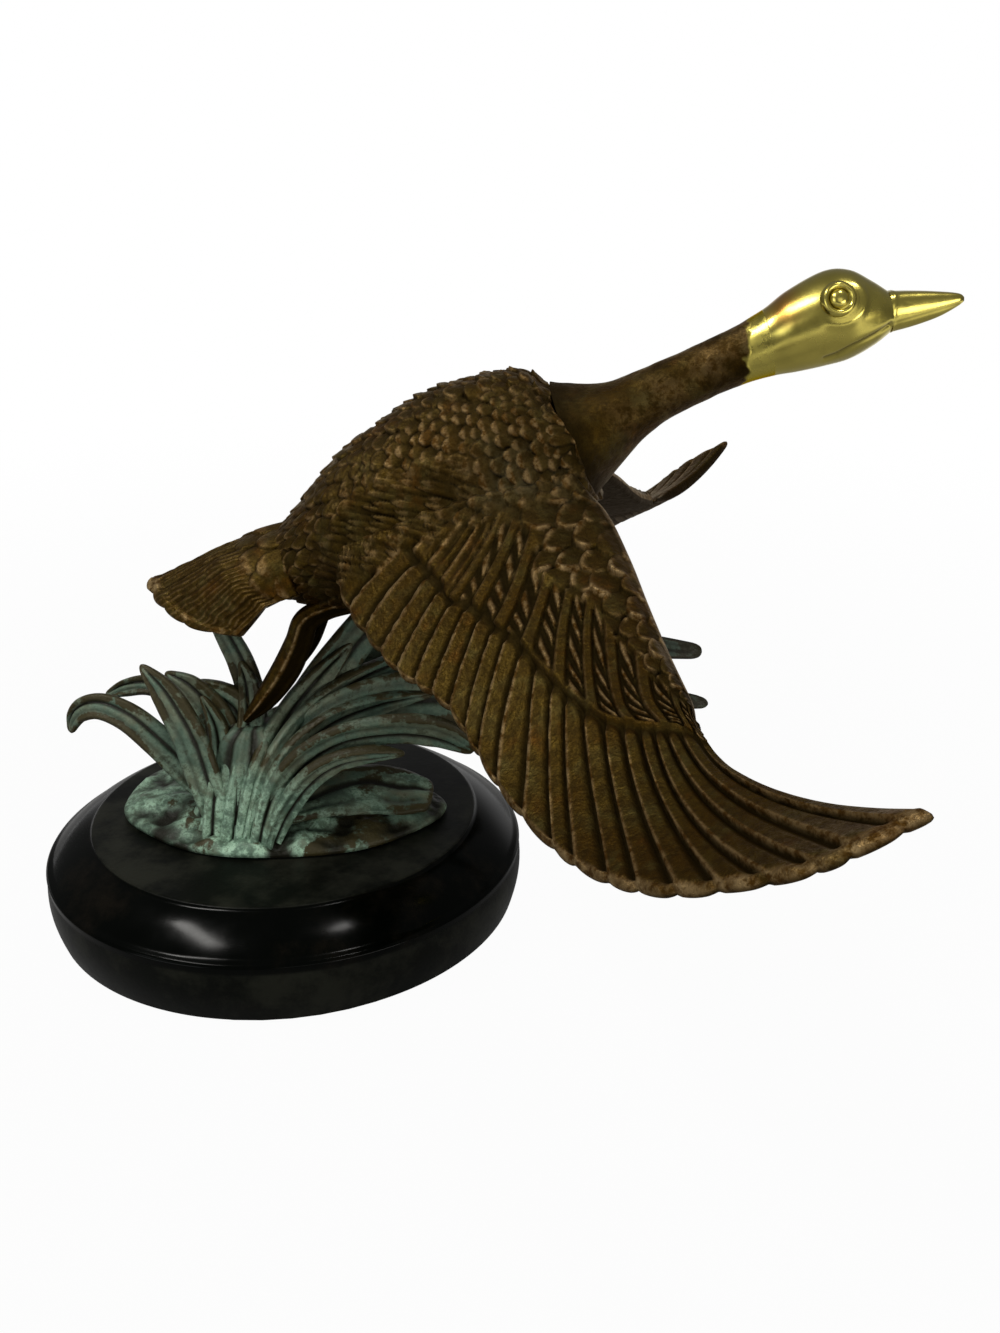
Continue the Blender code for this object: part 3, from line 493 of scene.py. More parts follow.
def stone(tree):
    """Near-black marble with cloudy veins: polished slope, duller top and band below the crease."""
    matt = value_of(tree, "matt")
    slope = blend(tree, patches(tree, 38, 0.50, 0.72, detail=8, rough=0.72),
                  (0.0005, 0.0009, 0.0005), (0.0060, 0.0047, 0.0030))
    band = blend(tree, patches(tree, 48, 0.44, 0.64, detail=8, rough=0.7),
                 (0.0030, 0.0036, 0.0024), (0.019, 0.0198, 0.014))
    rough = work(tree, "ADD", work(tree, "MULTIPLY", matt, 0.30), patches(tree, 130, 0.3, 0.7, 0.13, 0.19))
    return {"Base Color": blend(tree, matt, slope, band), "Roughness": rough, "Specular IOR Level": 0.07,
            "Normal": bumps(tree, work(tree, "MULTIPLY", cloud(tree, 700), matt), 0.05)}


def felt(tree):
    """Dark green felt."""
    fibre = cloud(tree, 1500, 4, 0.8)
    colour = blend(tree, between(tree, fibre, 0.3, 0.7), (0.010, 0.018, 0.012), (0.035, 0.05, 0.036))
    return {"Base Color": colour, "Roughness": 0.95, "Sheen Weight": 0.3, "Normal": bumps(tree, fibre, 0.2)}


def steel(tree):
    """Steel with fine turning marks."""
    place = add(tree, "ShaderNodeMapping", {"Vector": place_of(tree), "Scale": (1, 1, 12)}).outputs[0]
    brush = add(tree, "ShaderNodeTexNoise", {"Vector": place, "Scale": 600, "Detail": 3}).outputs["Fac"]
    return {"Base Color": blend(tree, brush, (0.42, 0.42, 0.43), (0.62, 0.62, 0.63)), "Metallic": 1,
            "Roughness": between(tree, brush, 0.3, 0.7, 0.28, 0.42), "Normal": bumps(tree, brush, 0.02)}


MATERIALS = {name: make_material(name, paint) for name, paint in (
    ("dark_bronze", bronze), ("bright_brass", brass), ("verdigris", verdigris), ("polished_stone", stone),
    ("felt", felt), ("steel", steel))}
for name in ("felt_pad", "fixing_washer", "fixing_nut", "fixing_stud"):
    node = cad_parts[name]
    node.data.materials.clear()
    node.data.materials.append(MATERIALS["felt" if name == "felt_pad" else "steel"])


# Feathers


def overlapping(u, w, seed, dome=0.3, lip=0):
    """Relief of rounded feathers that overlap like tiles, uneven in place, size and height, with tips
    towards +w and one row to each unit of w. dome is how much of the height swells in the middle, and
    lip is the height of a rim round the tip. Gives the height, how far a point lies from the outlines,
    which the callers darken as painted shade, and how near it is to a tip."""
    place = plane(u, w)
    u = u + 0.28 * noise(place, 1.9, seed + 3)
    w = w + 0.30 * noise(place, 2.3, seed + 4)
    ragged = smooth(-0.6, 0.4, noise(place, 0.55, seed + 7))
    height, clear, tip = (np.zeros_like(u) for _ in range(3))
    for step in (1, 0, -1):
        row = np.floor(w) + step
        across = u - 0.5 * (row % 2)
        column = np.floor(across)
        size = 0.86 + 0.28 * chance(column, row, seed + 5)
        du = (across - column - 0.5 + 0.2 * (chance(column, row, seed) - 0.5)) / size
        d = w - row + 0.4 * (chance(column, row, seed + 1) - 0.5)
        e = np.abs(du / FEATHER_HALF_WIDTH) ** 1.5 + ((d - 0.35) / FEATHER_LENGTH) ** 2
        crescent = bump(e, 0.66, 0.2) * smooth(0.25, 0.6, d) * ragged
        rise = 0.05 + (0.95 - dome) * held((d + 0.6) / 1.9) + dome * held(1 - e) ** 0.6
        rise = (rise + lip * crescent) * held((1 - e) / 0.22) ** 0.6
        rise = rise * (0.72 + 0.45 * chance(column, row, seed + 2))
        inside = (e < 1) & (rise > height)
        height = np.where(inside, rise, height)
        # clear falls to 0 at a feather's outline, where the callers paint shade between feathers
        clear = np.where(inside, fall(0.60, 1, e), clear)
        mark = crescent if lip else smooth(0.55, 0.95, d) * fall(0.70, 0.95, e)
        mark = mark * (0.3 + 1.1 * chance(column, row, seed + 6))
        tip = np.where(inside, np.minimum(mark, 1), tip)
    return height, clear, tip


def lines_between(k, tables):
    """For rows of k, one column per row of tables: which pair of lines k lies between, and how far."""
    out = np.empty_like(k)
    for j in range(k.shape[1]):
        out[:, j] = np.interp(k[:, j], tables[j], np.arange(len(tables[j])))
    return out


def wing_place(k, v):
    """Middle of the right wing at feather k, with v from 0 at the leading edge over 1 at the ridge
    to 2 at the trailing edge."""
    t = (k + 3) / 3
    lead, ridge, trail = (curve(p, t) for p in (WING_LEAD, WING_RIDGE, WING_TRAIL))
    beyond = np.maximum(0, v - 1)[..., None]
    front = v[..., None]
    plan = np.where(front > 1, ridge + (trail - ridge) * beyond, lead + (ridge - lead) * front)
    x, out, beyond = plan[..., 0], plan[..., 1], beyond[..., 0]
    x = x - WING_SWEEP * 6.75 * beyond * (1 - beyond) ** 2 * np.maximum(0, k / 24) ** 2
    curl = np.maximum(0, out - WING_CURL_START) ** 2 / WING_CURL_SPAN
    twist = (x - WING_MIDDLE_X) * (out - WING_FALL_START) / WING_TWIST_SPAN
    camber = np.maximum(0, WING_MIDDLE_X - x) ** 2 / WING_CAMBER_SPAN
    lift = curve(WING_LIFT, t)[..., 0] * (1 - beyond) ** 2
    z = WING_HEIGHT - WING_FALL * (out - WING_FALL_START) + curl + twist - camber + lift
    return np.stack([x, -out, z + BASE_TOP], -1)


def flight_relief(k, v, edge):
    """Relief of the flight feathers: vanes that fall away from a raised near side, a groove between.
    They start at the edge, a value of v. Gives the way across each feather too."""
    low, mid, far = np.array(GROOVES, float).T
    tables = []
    for along in v[0]:
        s = (along - 1.1) / 0.8
        tables.append(low * (1 - s) * (1 - 2 * s) + mid * 4 * s * (1 - s) + far * s * (2 * s - 1))
    g = lines_between(k, tables)
    f = g - np.floor(g)
    long = smooth(8, 14, k)
    vane = smooth(0, 0.11, f) * fall(0.76 - 0.10 * long, 0.97, f) * (1 - (0.45 - 0.1 * long) * f)
    start = edge + 0.015 + 0.055 * (2 * f - 0.9) ** 2
    vane = vane * (0.3 + 0.7 * smooth(start, start + 0.05, v))
    height = vane * (1 + 0.03 * noise(plane(g * 2.6, v * 24), 1, 5))
    rim = bump(f, 0.12, 0.07) * smooth(edge + 0.03, edge + 0.1, v) * (0.95 - 0.5 * long)
    return f, height, rim


def covert_relief(k, v):
    """Relief of the slanting small feathers: long loops near the body, further out a smooth shaft and
    slanting barbs on each."""
    ends = np.array(COVERT_ENDS)
    tables = []
    for along in v[0]:
        s = 1 - along
        table = ends - line_at(COVERT_SLANT, ends) * s - line_at(COVERT_BEND, ends) * s * s
        tables.append(np.maximum.accumulate(table + 1e-6 * np.arange(len(table))))
    c = lines_between(k, tables)
    number = np.floor(c)
    f = c - number
    wide = smooth(NARROW_COVERTS - 1.5, NARROW_COVERTS + 0.5, number)
    end = smooth(0.86, 0.96, v)
    loop = held(bump(f, 0.22, 0.13) + 0.75 * bump(f, 0.76, 0.13) + 0.28 + 0.6 * end)
    loop = loop * held(np.sin(math.pi * f) * 3)
    shaft = held(np.sin(math.pi * held(f / 0.46)) * 1.7) * (0.92 + 0.08 * np.cos(f * 9))
    turn = v * 7.5 - (f - 0.5) + 0.9 * chance(number, 0, 3) \
        + 0.35 * noise(plane(number * 3.1, v * 6), 1, 13)
    saw = turn - np.floor(turn)
    window = smooth(0.46, 0.56, f) * fall(0.90, 1, f)
    tooth = smooth(0.1, 0.5, saw) * fall(0.66, 0.9, saw) * window
    height = (1 - wide) * 0.85 * loop + wide * np.maximum(shaft, 0.05 + 0.7 * tooth)
    rim = (1 - wide) * 0.5 * bump(f, 0.2, 0.08) + wide * (0.5 * tooth ** 3 + 0.2 * bump(f, 0.08, 0.05))
    return height, rim


def gaps_to(targets, points):
    """Distance from each point to the nearest target."""
    tree = KDTree(len(targets))
    for number, place in enumerate(targets):
        tree.insert(place, number)
    tree.balance()
    return np.array([tree.find(place)[2] for place in points.reshape(-1, 3)]).reshape(points.shape[:-1])


def green_haze(points, rings):
    """How much of a greyish green haze lies on the joint of body and wing, uneven over the rings."""
    away = points - [55, -13, 104]
    patch = np.exp(-(away ** 2 / [100, 64, 64]).sum(axis=-1))
    return 0.95 * patch * (0.6 + 0.4 * noise(rings, 4, 35))


def level_streaks(points):
    """Relief of fine level feathers that runs on from the body's flank over the root of the wing."""
    across = (points[..., 2] - 0.55 * np.abs(points[..., 1]) + 0.25 * points[..., 0]) / 1.6
    return overlapping(across + 40, 40 - points[..., 0] / 5.5, 31)


def root_feathers(skin):
    """Relief on the root of the wing: level streaks, with short feathers further forward."""
    short = overlapping(40 + skin[..., 1] / 3.4, 40 - skin[..., 0] / 3, 61)
    forward = smooth(38, 46, skin[..., 0])
    return (a + (b - a) * forward for a, b in zip(level_streaks(skin), short))


def half_thickness(thickness, v, least, rim):
    """Half the thickness of a wing or tail: thinner to the trailing edge, rounded at v = 0 down to a
    share called least, and over the last rim of v."""
    half = 0.5 * (thickness + (WING_EDGE - thickness) * np.maximum(0, v - 0.5) / 1.5)
    half = half * np.sqrt(np.maximum(least, 1 - (1 - held(v / 0.05)) ** 2))
    return half * np.sqrt(np.maximum(0.06, 1 - held((v - 2 + rim) / rim) ** 2))


def wing_plate(k, v, f):
    """Middle, upward normal and half thickness of the wing without its relief, scalloped by the way f
    across each feather, and how near a point is to the thin outer corner."""
    mid = wing_place(k, v)
    normal = unit(np.cross(wing_place(k + 0.05, v) - wing_place(k - 0.05, v),
                           wing_place(k, v + 0.02) - wing_place(k, v - 0.02)))
    normal = normal * np.sign(normal[..., 2:3])
    half = half_thickness(WING_THICKNESS, v, 0.03, 0.03)
    corner = smooth(19.5, 23, k) * fall(1, 1.5, v)
    outward = unit(mid - wing_place(k, v - 0.05))
    scallop = (1 - np.sin(math.pi * held(f)) ** 0.6) * smooth(1.9, 2, v)
    return mid - outward * scallop[..., None], normal, half * (1 - 0.6 * corner), corner


def right_wing():
    """Rings round the right wing, with the feathers' relief on both faces, and its values, which carry
    painted shade in the hollows, the gaps and on the lower face and a painted sheen on the leading edge.
    """
    k_line = np.linspace(WING_FIRST, WING_LAST, 27 * 13 + 1)
    v_line = np.concatenate([[0, 0.004, 0.012, 0.024], np.linspace(0.04, 1.1, 96),
                             np.linspace(1.112, 1.94, 62), np.linspace(1.95, 1.99, 5), [1.995, 2]])
    k, v = np.meshgrid(k_line, v_line, indexing="ij")
    flat = plane(k, v)
    edge = 1 + 0.03 * noise(flat, 0.9, 7) * fall(7, 9, k)
    f, flight, flight_rim = flight_relief(k, v, edge)
    covert, covert_rim = covert_relief(k, v)
    scale, scale_clear, scale_rim = overlapping(k / 1.5 - v * 0.5, v / 0.15, 11, 0.25, 0.3)
    border = line_at(SHOULDER_REACH, k) + 0.05 * noise(flat, 1.2, 8)
    shoulder = fall(border - 0.03, border + 0.03, v)
    front = fall(edge - 0.008, edge + 0.008, v)
    scale_rise = SHOULDER_SHARE + (SHOULDER_SHARE_OUT - SHOULDER_SHARE) * smooth(13, 20, k)
    height = covert * (1 - shoulder) + scale_rise * scale * shoulder
    clear = 1 - shoulder * front * (1 - scale_clear)
    gold = smooth(1, 4.5, k) * fall(15, 21, k)
    rim = covert_rim * (1 - shoulder) + scale_rim * shoulder * (0.2 + 0.7 * gold)
    height = height * front + flight * (1 - front)
    rim = rim * front + flight_rim * (1 - front)

    bead = bump(v, 1, 0.022) * smooth(7.5, 11, k) * fall(20, 22, k)
    lip = smooth(1.93, 1.97, v)
    rolled = lip * (0.6 + 0.35 * noise(flat * [2.2, 8, 1], 1, 4))
    height = np.maximum(height * (1 - lip) + rolled, 0.8 * bead)
    rolled_rim = 0.75 * lip * (0.5 + 0.5 * noise(flat * [1.4, 3, 1], 1, 6))
    rim = held(rim * (1 - 0.7 * bead) + rolled_rim)
    # lead marks the leading edge, where a painted sheen goes
    lead = fall(0.02, 0.045, v)
    size = COVERT_RISE * front + FLIGHT_RISE * (1 - front)
    fade = smooth(0, 0.14, v) * (1 - 0.5 * smooth(1.97, 2, v)) * smooth(-3, -1.5, k)
    fade = fade * (1 - smooth(22, 23, k) * fall(1.05, 1.3, v))

    mid, normal, half, corner = wing_plate(k, v, f)
    step = 0.3 * front * smooth(0, 0.1, v) * (1 - corner)

    skin = mid + normal * half[..., None]
    gaps = np.full(k.shape, 1e3)
    body = rib_rings(TORSO_RIBS, np.linspace(0, 7, 80), ring_angles(90)).reshape(-1, 3)
    gaps[:ROOT_ROWS] = gaps_to(body, skin[:ROOT_ROWS])
    swell = ROOT_RISE * np.exp(-gaps / ROOT_REACH) * smooth(0, 0.08, v) * fall(1.85, 2, v)
    root = fall(4.2, 5.6, gaps + 2 * noise(skin, 4, 28)) * smooth(0, 0.1, v)
    streak, streak_clear, streak_tip = root_feathers(skin)
    tone_with_painted_shade = height * (1 - 0.50 * shoulder * front) * (1 - root) + 0.85 * streak * root
    height = height * (1 - root) + STREAK_SHARE * streak * root
    fade = fade * (1 - root) + smooth(0, 0.06, v) * smooth(-3, -2.6, k) * root
    clear = clear * (1 - root) + streak_clear * root
    rim = rim * (1 - root) + 0.3 * streak_tip * root

    vanes = flight * (1 - front)
    top = mid + normal * (half + fade * (size * height + step) - 0.15 + swell)[..., None]
    low = mid - normal * (half + 0.28 * fade * vanes)[..., None]
    rings = both_faces(top, low)
    # Painted shade: darker in the hollows and at the feathers' outlines
    tone_with_painted_shade = held(0.08 + 0.92 * tone_with_painted_shade) * (0.08 + 0.92 * clear)
    # Painted sheen along the leading edge: it is kept light and given a little gold
    tone_with_painted_shade = tone_with_painted_shade * (1 - lead) + 0.85 * lead
    worn = held(rim + 0.2 * lead * smooth(-1, 3, k))
    # The lower face is taken as far away, so that the haze lies on the upper one only
    haze = green_haze(both_faces(skin, skin + 1e3), rings)
    # The lower face gets a low height value: painted shade on the wing's underside
    return rings, {"height": both_faces(tone_with_painted_shade, 0.22 + 0.3 * vanes),
                   "worn": both_faces(worn, 0.2 * worn * lip), "green": haze}


# Body


def rib_rings(ribs, stations, angles):
    """Rings round the goose's middle plane at stations counted in ribs."""
    x_top, z_top, x_low, z_low, half = np.moveaxis(curve(ribs, stations), -1, 0)[:, :, None]
    a = angles[None, :]
    x = (x_top + x_low) / 2 + (x_top - x_low) / 2 * np.sin(a)
    z = (z_top + z_low) / 2 + (z_top - z_low) / 2 * np.sin(a)
    return np.stack([x, half * np.cos(a), z + BASE_TOP], -1)


def lengths_along(rings):
    """Distance of each ring's points from the first ring, along the middle of the rings."""
    steps = np.linalg.norm(np.diff(rings.mean(axis=1), axis=0), axis=1)
    return np.concatenate([[0], np.cumsum(steps)])[:, None] + 0 * rings[..., 0]


def near_side(points):
    """The same points, with those of the far side mirrored to the near side."""
    return np.stack([points[..., 0], -np.abs(points[..., 1]), points[..., 2]], -1)


def build_wings():
    rings, values = right_wing()
    make_cast("right_wing", "dark_bronze", (rings, values))
    make_cast("left_wing", "dark_bronze", (rings * [1, -1, 1], values))


def build_torso():
    """Body with uneven overlapping feathers on the back, fine level streaks on the flanks, and a collar
    where it ends round the smooth neck."""
    angles = ring_angles(340)
    rings = rib_rings(TORSO_RIBS, np.linspace(0, 7, 400), angles)
    length = lengths_along(rings)
    a = angles[None, :] + 0 * length
    back = length[-1, 0] - length
    scale, scale_clear, tip = overlapping(a / math.tau * 28, back / 3.1, 21, 0.25, 0.12)
    small, small_clear, small_tip = overlapping(a / math.tau * 38, back / 2.7, 51, 0.2)
    streak, streak_clear, streak_tip = level_streaks(rings)
    rise = np.sin(a)
    sides = fall(0.72, 0.95, np.abs(rise + 0.15 * noise(rings, 9, 23)))
    flank = fall(0.30, 0.55, rise + 0.2 * noise(rings, 8, 24)) * smooth(-0.7, -0.4, rise) \
        * smooth(12, 24, length) * fall(50, 62, length)
    mixed = sides * (1 - flank) * smooth(20, 40, length)
    height = scale * (1 - flank) * (1 - mixed) + small * 0.85 * mixed + 0.8 * streak * flank
    clear = scale_clear * (1 - flank) * (1 - mixed) + small_clear * mixed + streak_clear * flank
    tip = 0.45 * tip * (1 - flank) * (1 - mixed) + 0.42 * small_tip * mixed + 0.18 * streak_tip * flank
    breast = smooth(0.15, 0.5, -rise) * smooth(45, 60, length)
    size = (BACK_RISE - 0.7 * flank - 0.4 * mixed) * (1 - 0.85 * breast)
    size = size * (0.6 + 0.4 * smooth(4, 24, length))
    ending = fall(0, 5, back)
    collar = (1.2 * fall(0.2, 0.8, rise) - 0.9 * smooth(0.5, 0.9, rise)) * ending
    k, v = np.meshgrid(np.linspace(WING_FIRST, 9, 50), np.linspace(0.02, 1.9, 60), indexing="ij")
    wing = (wing_place(k, v) + [0, 0, 1.2]).reshape(-1, 3)
    mirrored = near_side(rings)
    swell = ROOT_RISE * np.exp(-gaps_to(wing, mirrored) / ROOT_REACH) * (1 - ending)
    swell = swell * smooth(4, 16, length)
    relief = size * height * (1 - 0.5 * ending) - 0.8 + collar + 0.35 * noise(rings, 5, 2) + swell
    moved = raised(rings, relief)
    moved[..., 0] += ending * np.clip(1.6 * noise(rings, 3.2, 25) + 0.6 * noise(rings, 1.4, 26), -1.5, 1.5)
    # Painted shade: darker in the hollows and at the feathers' outlines, except on the smooth breast
    tone_with_painted_shade = held(0.10 + 0.9 * height + 0.5 * breast) * (0.15 + 0.85 * np.maximum(clear, breast))
    values = {"height": tone_with_painted_shade, "worn": tip * (1 - breast), "green": green_haze(mirrored, rings)}
    make_cast("torso", "dark_bronze", (moved, values))


def build_neck():
    """Smooth neck with a worn, lightly pitted skin and a bright, ragged end. Its root lies in the body's
    collar and is darkened there as painted shade."""
    rings = rib_rings(NECK_RIBS + HEAD_RIBS[1:], np.linspace(0, 5, 220), ring_angles(120))
    length = lengths_along(rings)
    fine = 0.10 * noise(rings, 2.2, 3) + 0.25 * noise(rings, 7, 4)
    sunk = 0.7 * fall(0, 9, length)
    plain = smooth(99.5, 102.5, rings[..., 0])
    moved = raised(rings, (fine - 0.1) * (1 - plain) - sunk)
    patch = noise(rings * [0.5, 1, 1], 4, 9)
    worn = held(0.4 * patch + 0.2) * smooth(2, 16, length)
    tone_with_painted_shade = 0.72 + 0.25 * noise(rings, 6, 10) + 0.2 * noise(rings, 1.6, 12)
    # Painted shade: darker over the first 8 mm, where the root sits in the body's collar
    tone_with_painted_shade = np.clip(tone_with_painted_shade, 0.2, 1) * (0.35 + 0.65 * smooth(0, 8, length))
    ragged = 0.9 * noise(rings, 1.3, 27) + 0.7 * noise(rings, 3.5, 29)
    bright = smooth(100.8, 102, rings[..., 0] + ragged)
    make_cast("neck", "dark_bronze", (moved, {"height": tone_with_painted_shade, "worn": 0.35 * worn, "bright": bright}))


def line_depth(place, line, width):
    """How near points are, in x and z, to a line through points of (x, z)."""
    x, z = place[..., 0], place[..., 2] - BASE_TOP
    near = np.full(x.shape, 1e9)
    for (x0, z0), (x1, z1) in zip(line, line[1:]):
        dx, dz = x1 - x0, z1 - z0
        t = held(((x - x0) * dx + (z - z0) * dz) / (dx * dx + dz * dz))
        near = np.minimum(near, np.hypot(x - x0 - t * dx, z - z0 - t * dz))
    return np.exp(-(near / width) ** 2)


def build_head():
    """Satin head with a fold round each eye and a cheek line, with painted shade in the crease and round
    the eye.
    """
    rings = rib_rings(NECK_RIBS + HEAD_RIBS[1:], np.linspace(5, 10, 220), ring_angles(160))
    from_eye = near_side(rings) - (np.array(EYE_PLACE) + [0, 0, BASE_TOP])
    away = np.linalg.norm(from_eye, axis=-1)
    lower = smooth(-0.2, 0.7, (from_eye @ [0.8, 0, -0.6]) / np.maximum(away, 0.1))
    fold = 0.30 * bump(away, 4.9, 0.9) * lower
    crease = line_depth(rings, MOUTH, 0.55) * smooth(0.5, 3, np.abs(rings[..., 1]))
    lip = line_depth(rings, [(x, z + 1.2) for x, z in MOUTH], 0.9)
    moved = raised(rings, fold - 0.45 * crease + 0.15 * lip)
    patina = bump(rings[..., 0], 107.5, 2.6) * smooth(0, 0.6, (rings[..., 2] - BASE_TOP - 112) / 6)
    # Painted shade in the mouth crease and in a ring round the eye
    values = {"height": 1 - 0.6 * crease - 0.5 * bump(away, 3.75, 0.2), "patina": patina}
    make_cast("head", "bright_brass", (moved, values))


def build_beak():
    """Flat-sided bill with a faint edge, a nostril and a rim round its root, with painted shade in the
    edge's groove and the nostril.
    """
    angles = ring_angles(96)
    rings = rib_rings(BEAK_RIBS, np.linspace(0, 4, 150), angles)
    rings[..., 1] /= np.maximum(np.abs(np.cos(angles)), 1e-3) ** 0.4
    groove = line_depth(rings, BILL_EDGE, 0.3)
    nostril = bump(rings[..., 0], 131.6, 0.7) * bump(rings[..., 2] - BASE_TOP, 117.6, 0.35)
    collar = bump(rings[..., 0], 129.4, 0.5)
    moved = raised(rings, -0.05 * groove - 0.05 * nostril + 0.12 * collar)
    # Painted shade in the edge's groove and the nostril
    make_cast("beak", "bright_brass", (moved, {"height": 1 - 0.12 * groove - 0.15 * nostril}))


def build_eye(side, sign):
    rings = turned_rings(EYE_OUTLINE, 48)
    axis = Vector((EYE_AXIS[0], EYE_AXIS[1] * sign, EYE_AXIS[2]))
    turn = np.array(axis.to_track_quat("Z", "Y").to_matrix())
    place = np.array([EYE_PLACE[0], EYE_PLACE[1] * sign, EYE_PLACE[2] + BASE_TOP])
    # Painted shade in the groove round the eye's disc
    values = {"height": 1 - 0.85 * bump(np.linalg.norm(rings[..., :2], axis=-1), 1.95, 0.16)}
    make_cast(side + "_eye", "bright_brass", (rings @ turn.T + place, values))


build_wings()
build_torso()
build_neck()
build_head()
build_beak()
build_eye("right", 1)
build_eye("left", -1)


# Tail


def tail_place(k, v):
    """Middle of the tail at feather k, with v from 0 at its root to 2 at its edge."""
    half = TAIL_FEATHERS / 2
    t = 3 * (1 - np.abs(k / half - 1))
    root, middle, edge = (curve(p, t) for p in (TAIL_ROOT, TAIL_MIDDLE, TAIL_EDGE))
    u = v[..., None]
    place = np.where(u <= 1, root + (middle - root) * u, middle + (edge - middle) * (u - 1))
    place[..., 1] = np.where(k > half, -place[..., 1], place[..., 1])
    place[..., 2] += BASE_TOP
    return place


def build_tail():
    """Tail fan: lengthwise grooved feathers and a rolled rim, with painted shade in the hollows, at the
    outlines of the feathers near the root and on the lower face.
    """
    k_line = np.linspace(0, TAIL_FEATHERS, 201)
    v_line = np.concatenate([[0, 0.01, 0.03], np.linspace(0.06, 1.9, 90), np.linspace(1.915, 2, 10)])
    k, v = np.meshgrid(k_line, v_line, indexing="ij")
    mid = tail_place(k, v)
    step = 0.02
    before, after = (tail_place(np.clip(k + d, 0, TAIL_FEATHERS), v) for d in (-step, step))
    normal = unit(np.cross(after - before, tail_place(k, v + step) - tail_place(k, v - step)))
    normal = normal * np.sign(normal[..., 2:3])
    for _ in range(30):
        normal = unit(normal + np.roll(normal, 1, 0) * (k > 0)[..., None] + np.roll(normal, -1, 0)
                      * (k < TAIL_FEATHERS)[..., None])
    f = k - np.floor(k)
    vane = smooth(0, 0.14, f) * fall(0.8, 1, f) * (1 - 0.25 * f)
    loose = bump(k, TAIL_FEATHERS / 2, 1.7)
    vane = 1 - (0.3 + 0.7 * loose) * (1 - vane)
    fine = 0.5 + 0.5 * np.sin(math.tau * (f * 4 + 0.6 * noise(plane(k, v * 5), 1, 42)))
    side = np.minimum(k, TAIL_FEATHERS - k)
    rolled = held(smooth(1.80, 1.86, v) + fall(0.28, 0.42, side) * smooth(0.6, 1.2, v))
    height = vane * (0.5 + 0.24 * fine) * (1 - rolled) + (1.05 + 0.35 * noise(mid, 3, 43)) * rolled
    height = height + 0.08 * noise(mid, 1.4, 12)
    scale, clear, rim = overlapping(k * 0.7, v * 2.6, 41)
    cover = fall(0.62, 0.8, v)
    height = height * (1 - cover) + 1.3 * scale * cover
    half = half_thickness(TAIL_THICKNESS, v, 0.06, 0.04)
    outward = unit(mid - tail_place(k, v - 0.05))
    scallop = (0.4 + 1.2 * loose) * (1 - np.sin(math.pi * f) ** 0.6) * smooth(1.85, 2, v)
    mid = mid - outward * scallop[..., None]
    top = mid + normal * (half + TAIL_RISE * height * smooth(0, 0.1, v) - 0.2)[..., None]
    low = mid - normal * (half + 0.3 * vane * smooth(0.9, 1.2, v) * (1 - rolled))[..., None]
    spots = smooth(-0.2, 0.5, noise(mid, 3.2, 44))
    worn = held(0.9 * rolled * spots + 0.5 * rim * cover + 0.25 * smooth(0.6, 1, fine) * vane * (1 - cover))
    # Painted shade: darker in the hollows and at the outlines of the small feathers near the root
    tone_with_painted_shade = held(0.25 + 0.9 * height) * (1 - 0.75 * cover * (1 - clear))
    # The lower face gets a low height value: painted shade on the tail's underside
    values = {"height": both_faces(tone_with_painted_shade, 0.45 + 0.3 * vane), "worn": both_faces(worn, 0.3 * worn)}
    make_cast("tail", "dark_bronze", (both_faces(top, low), values))


build_tail()


# Reeds, leaf and legs


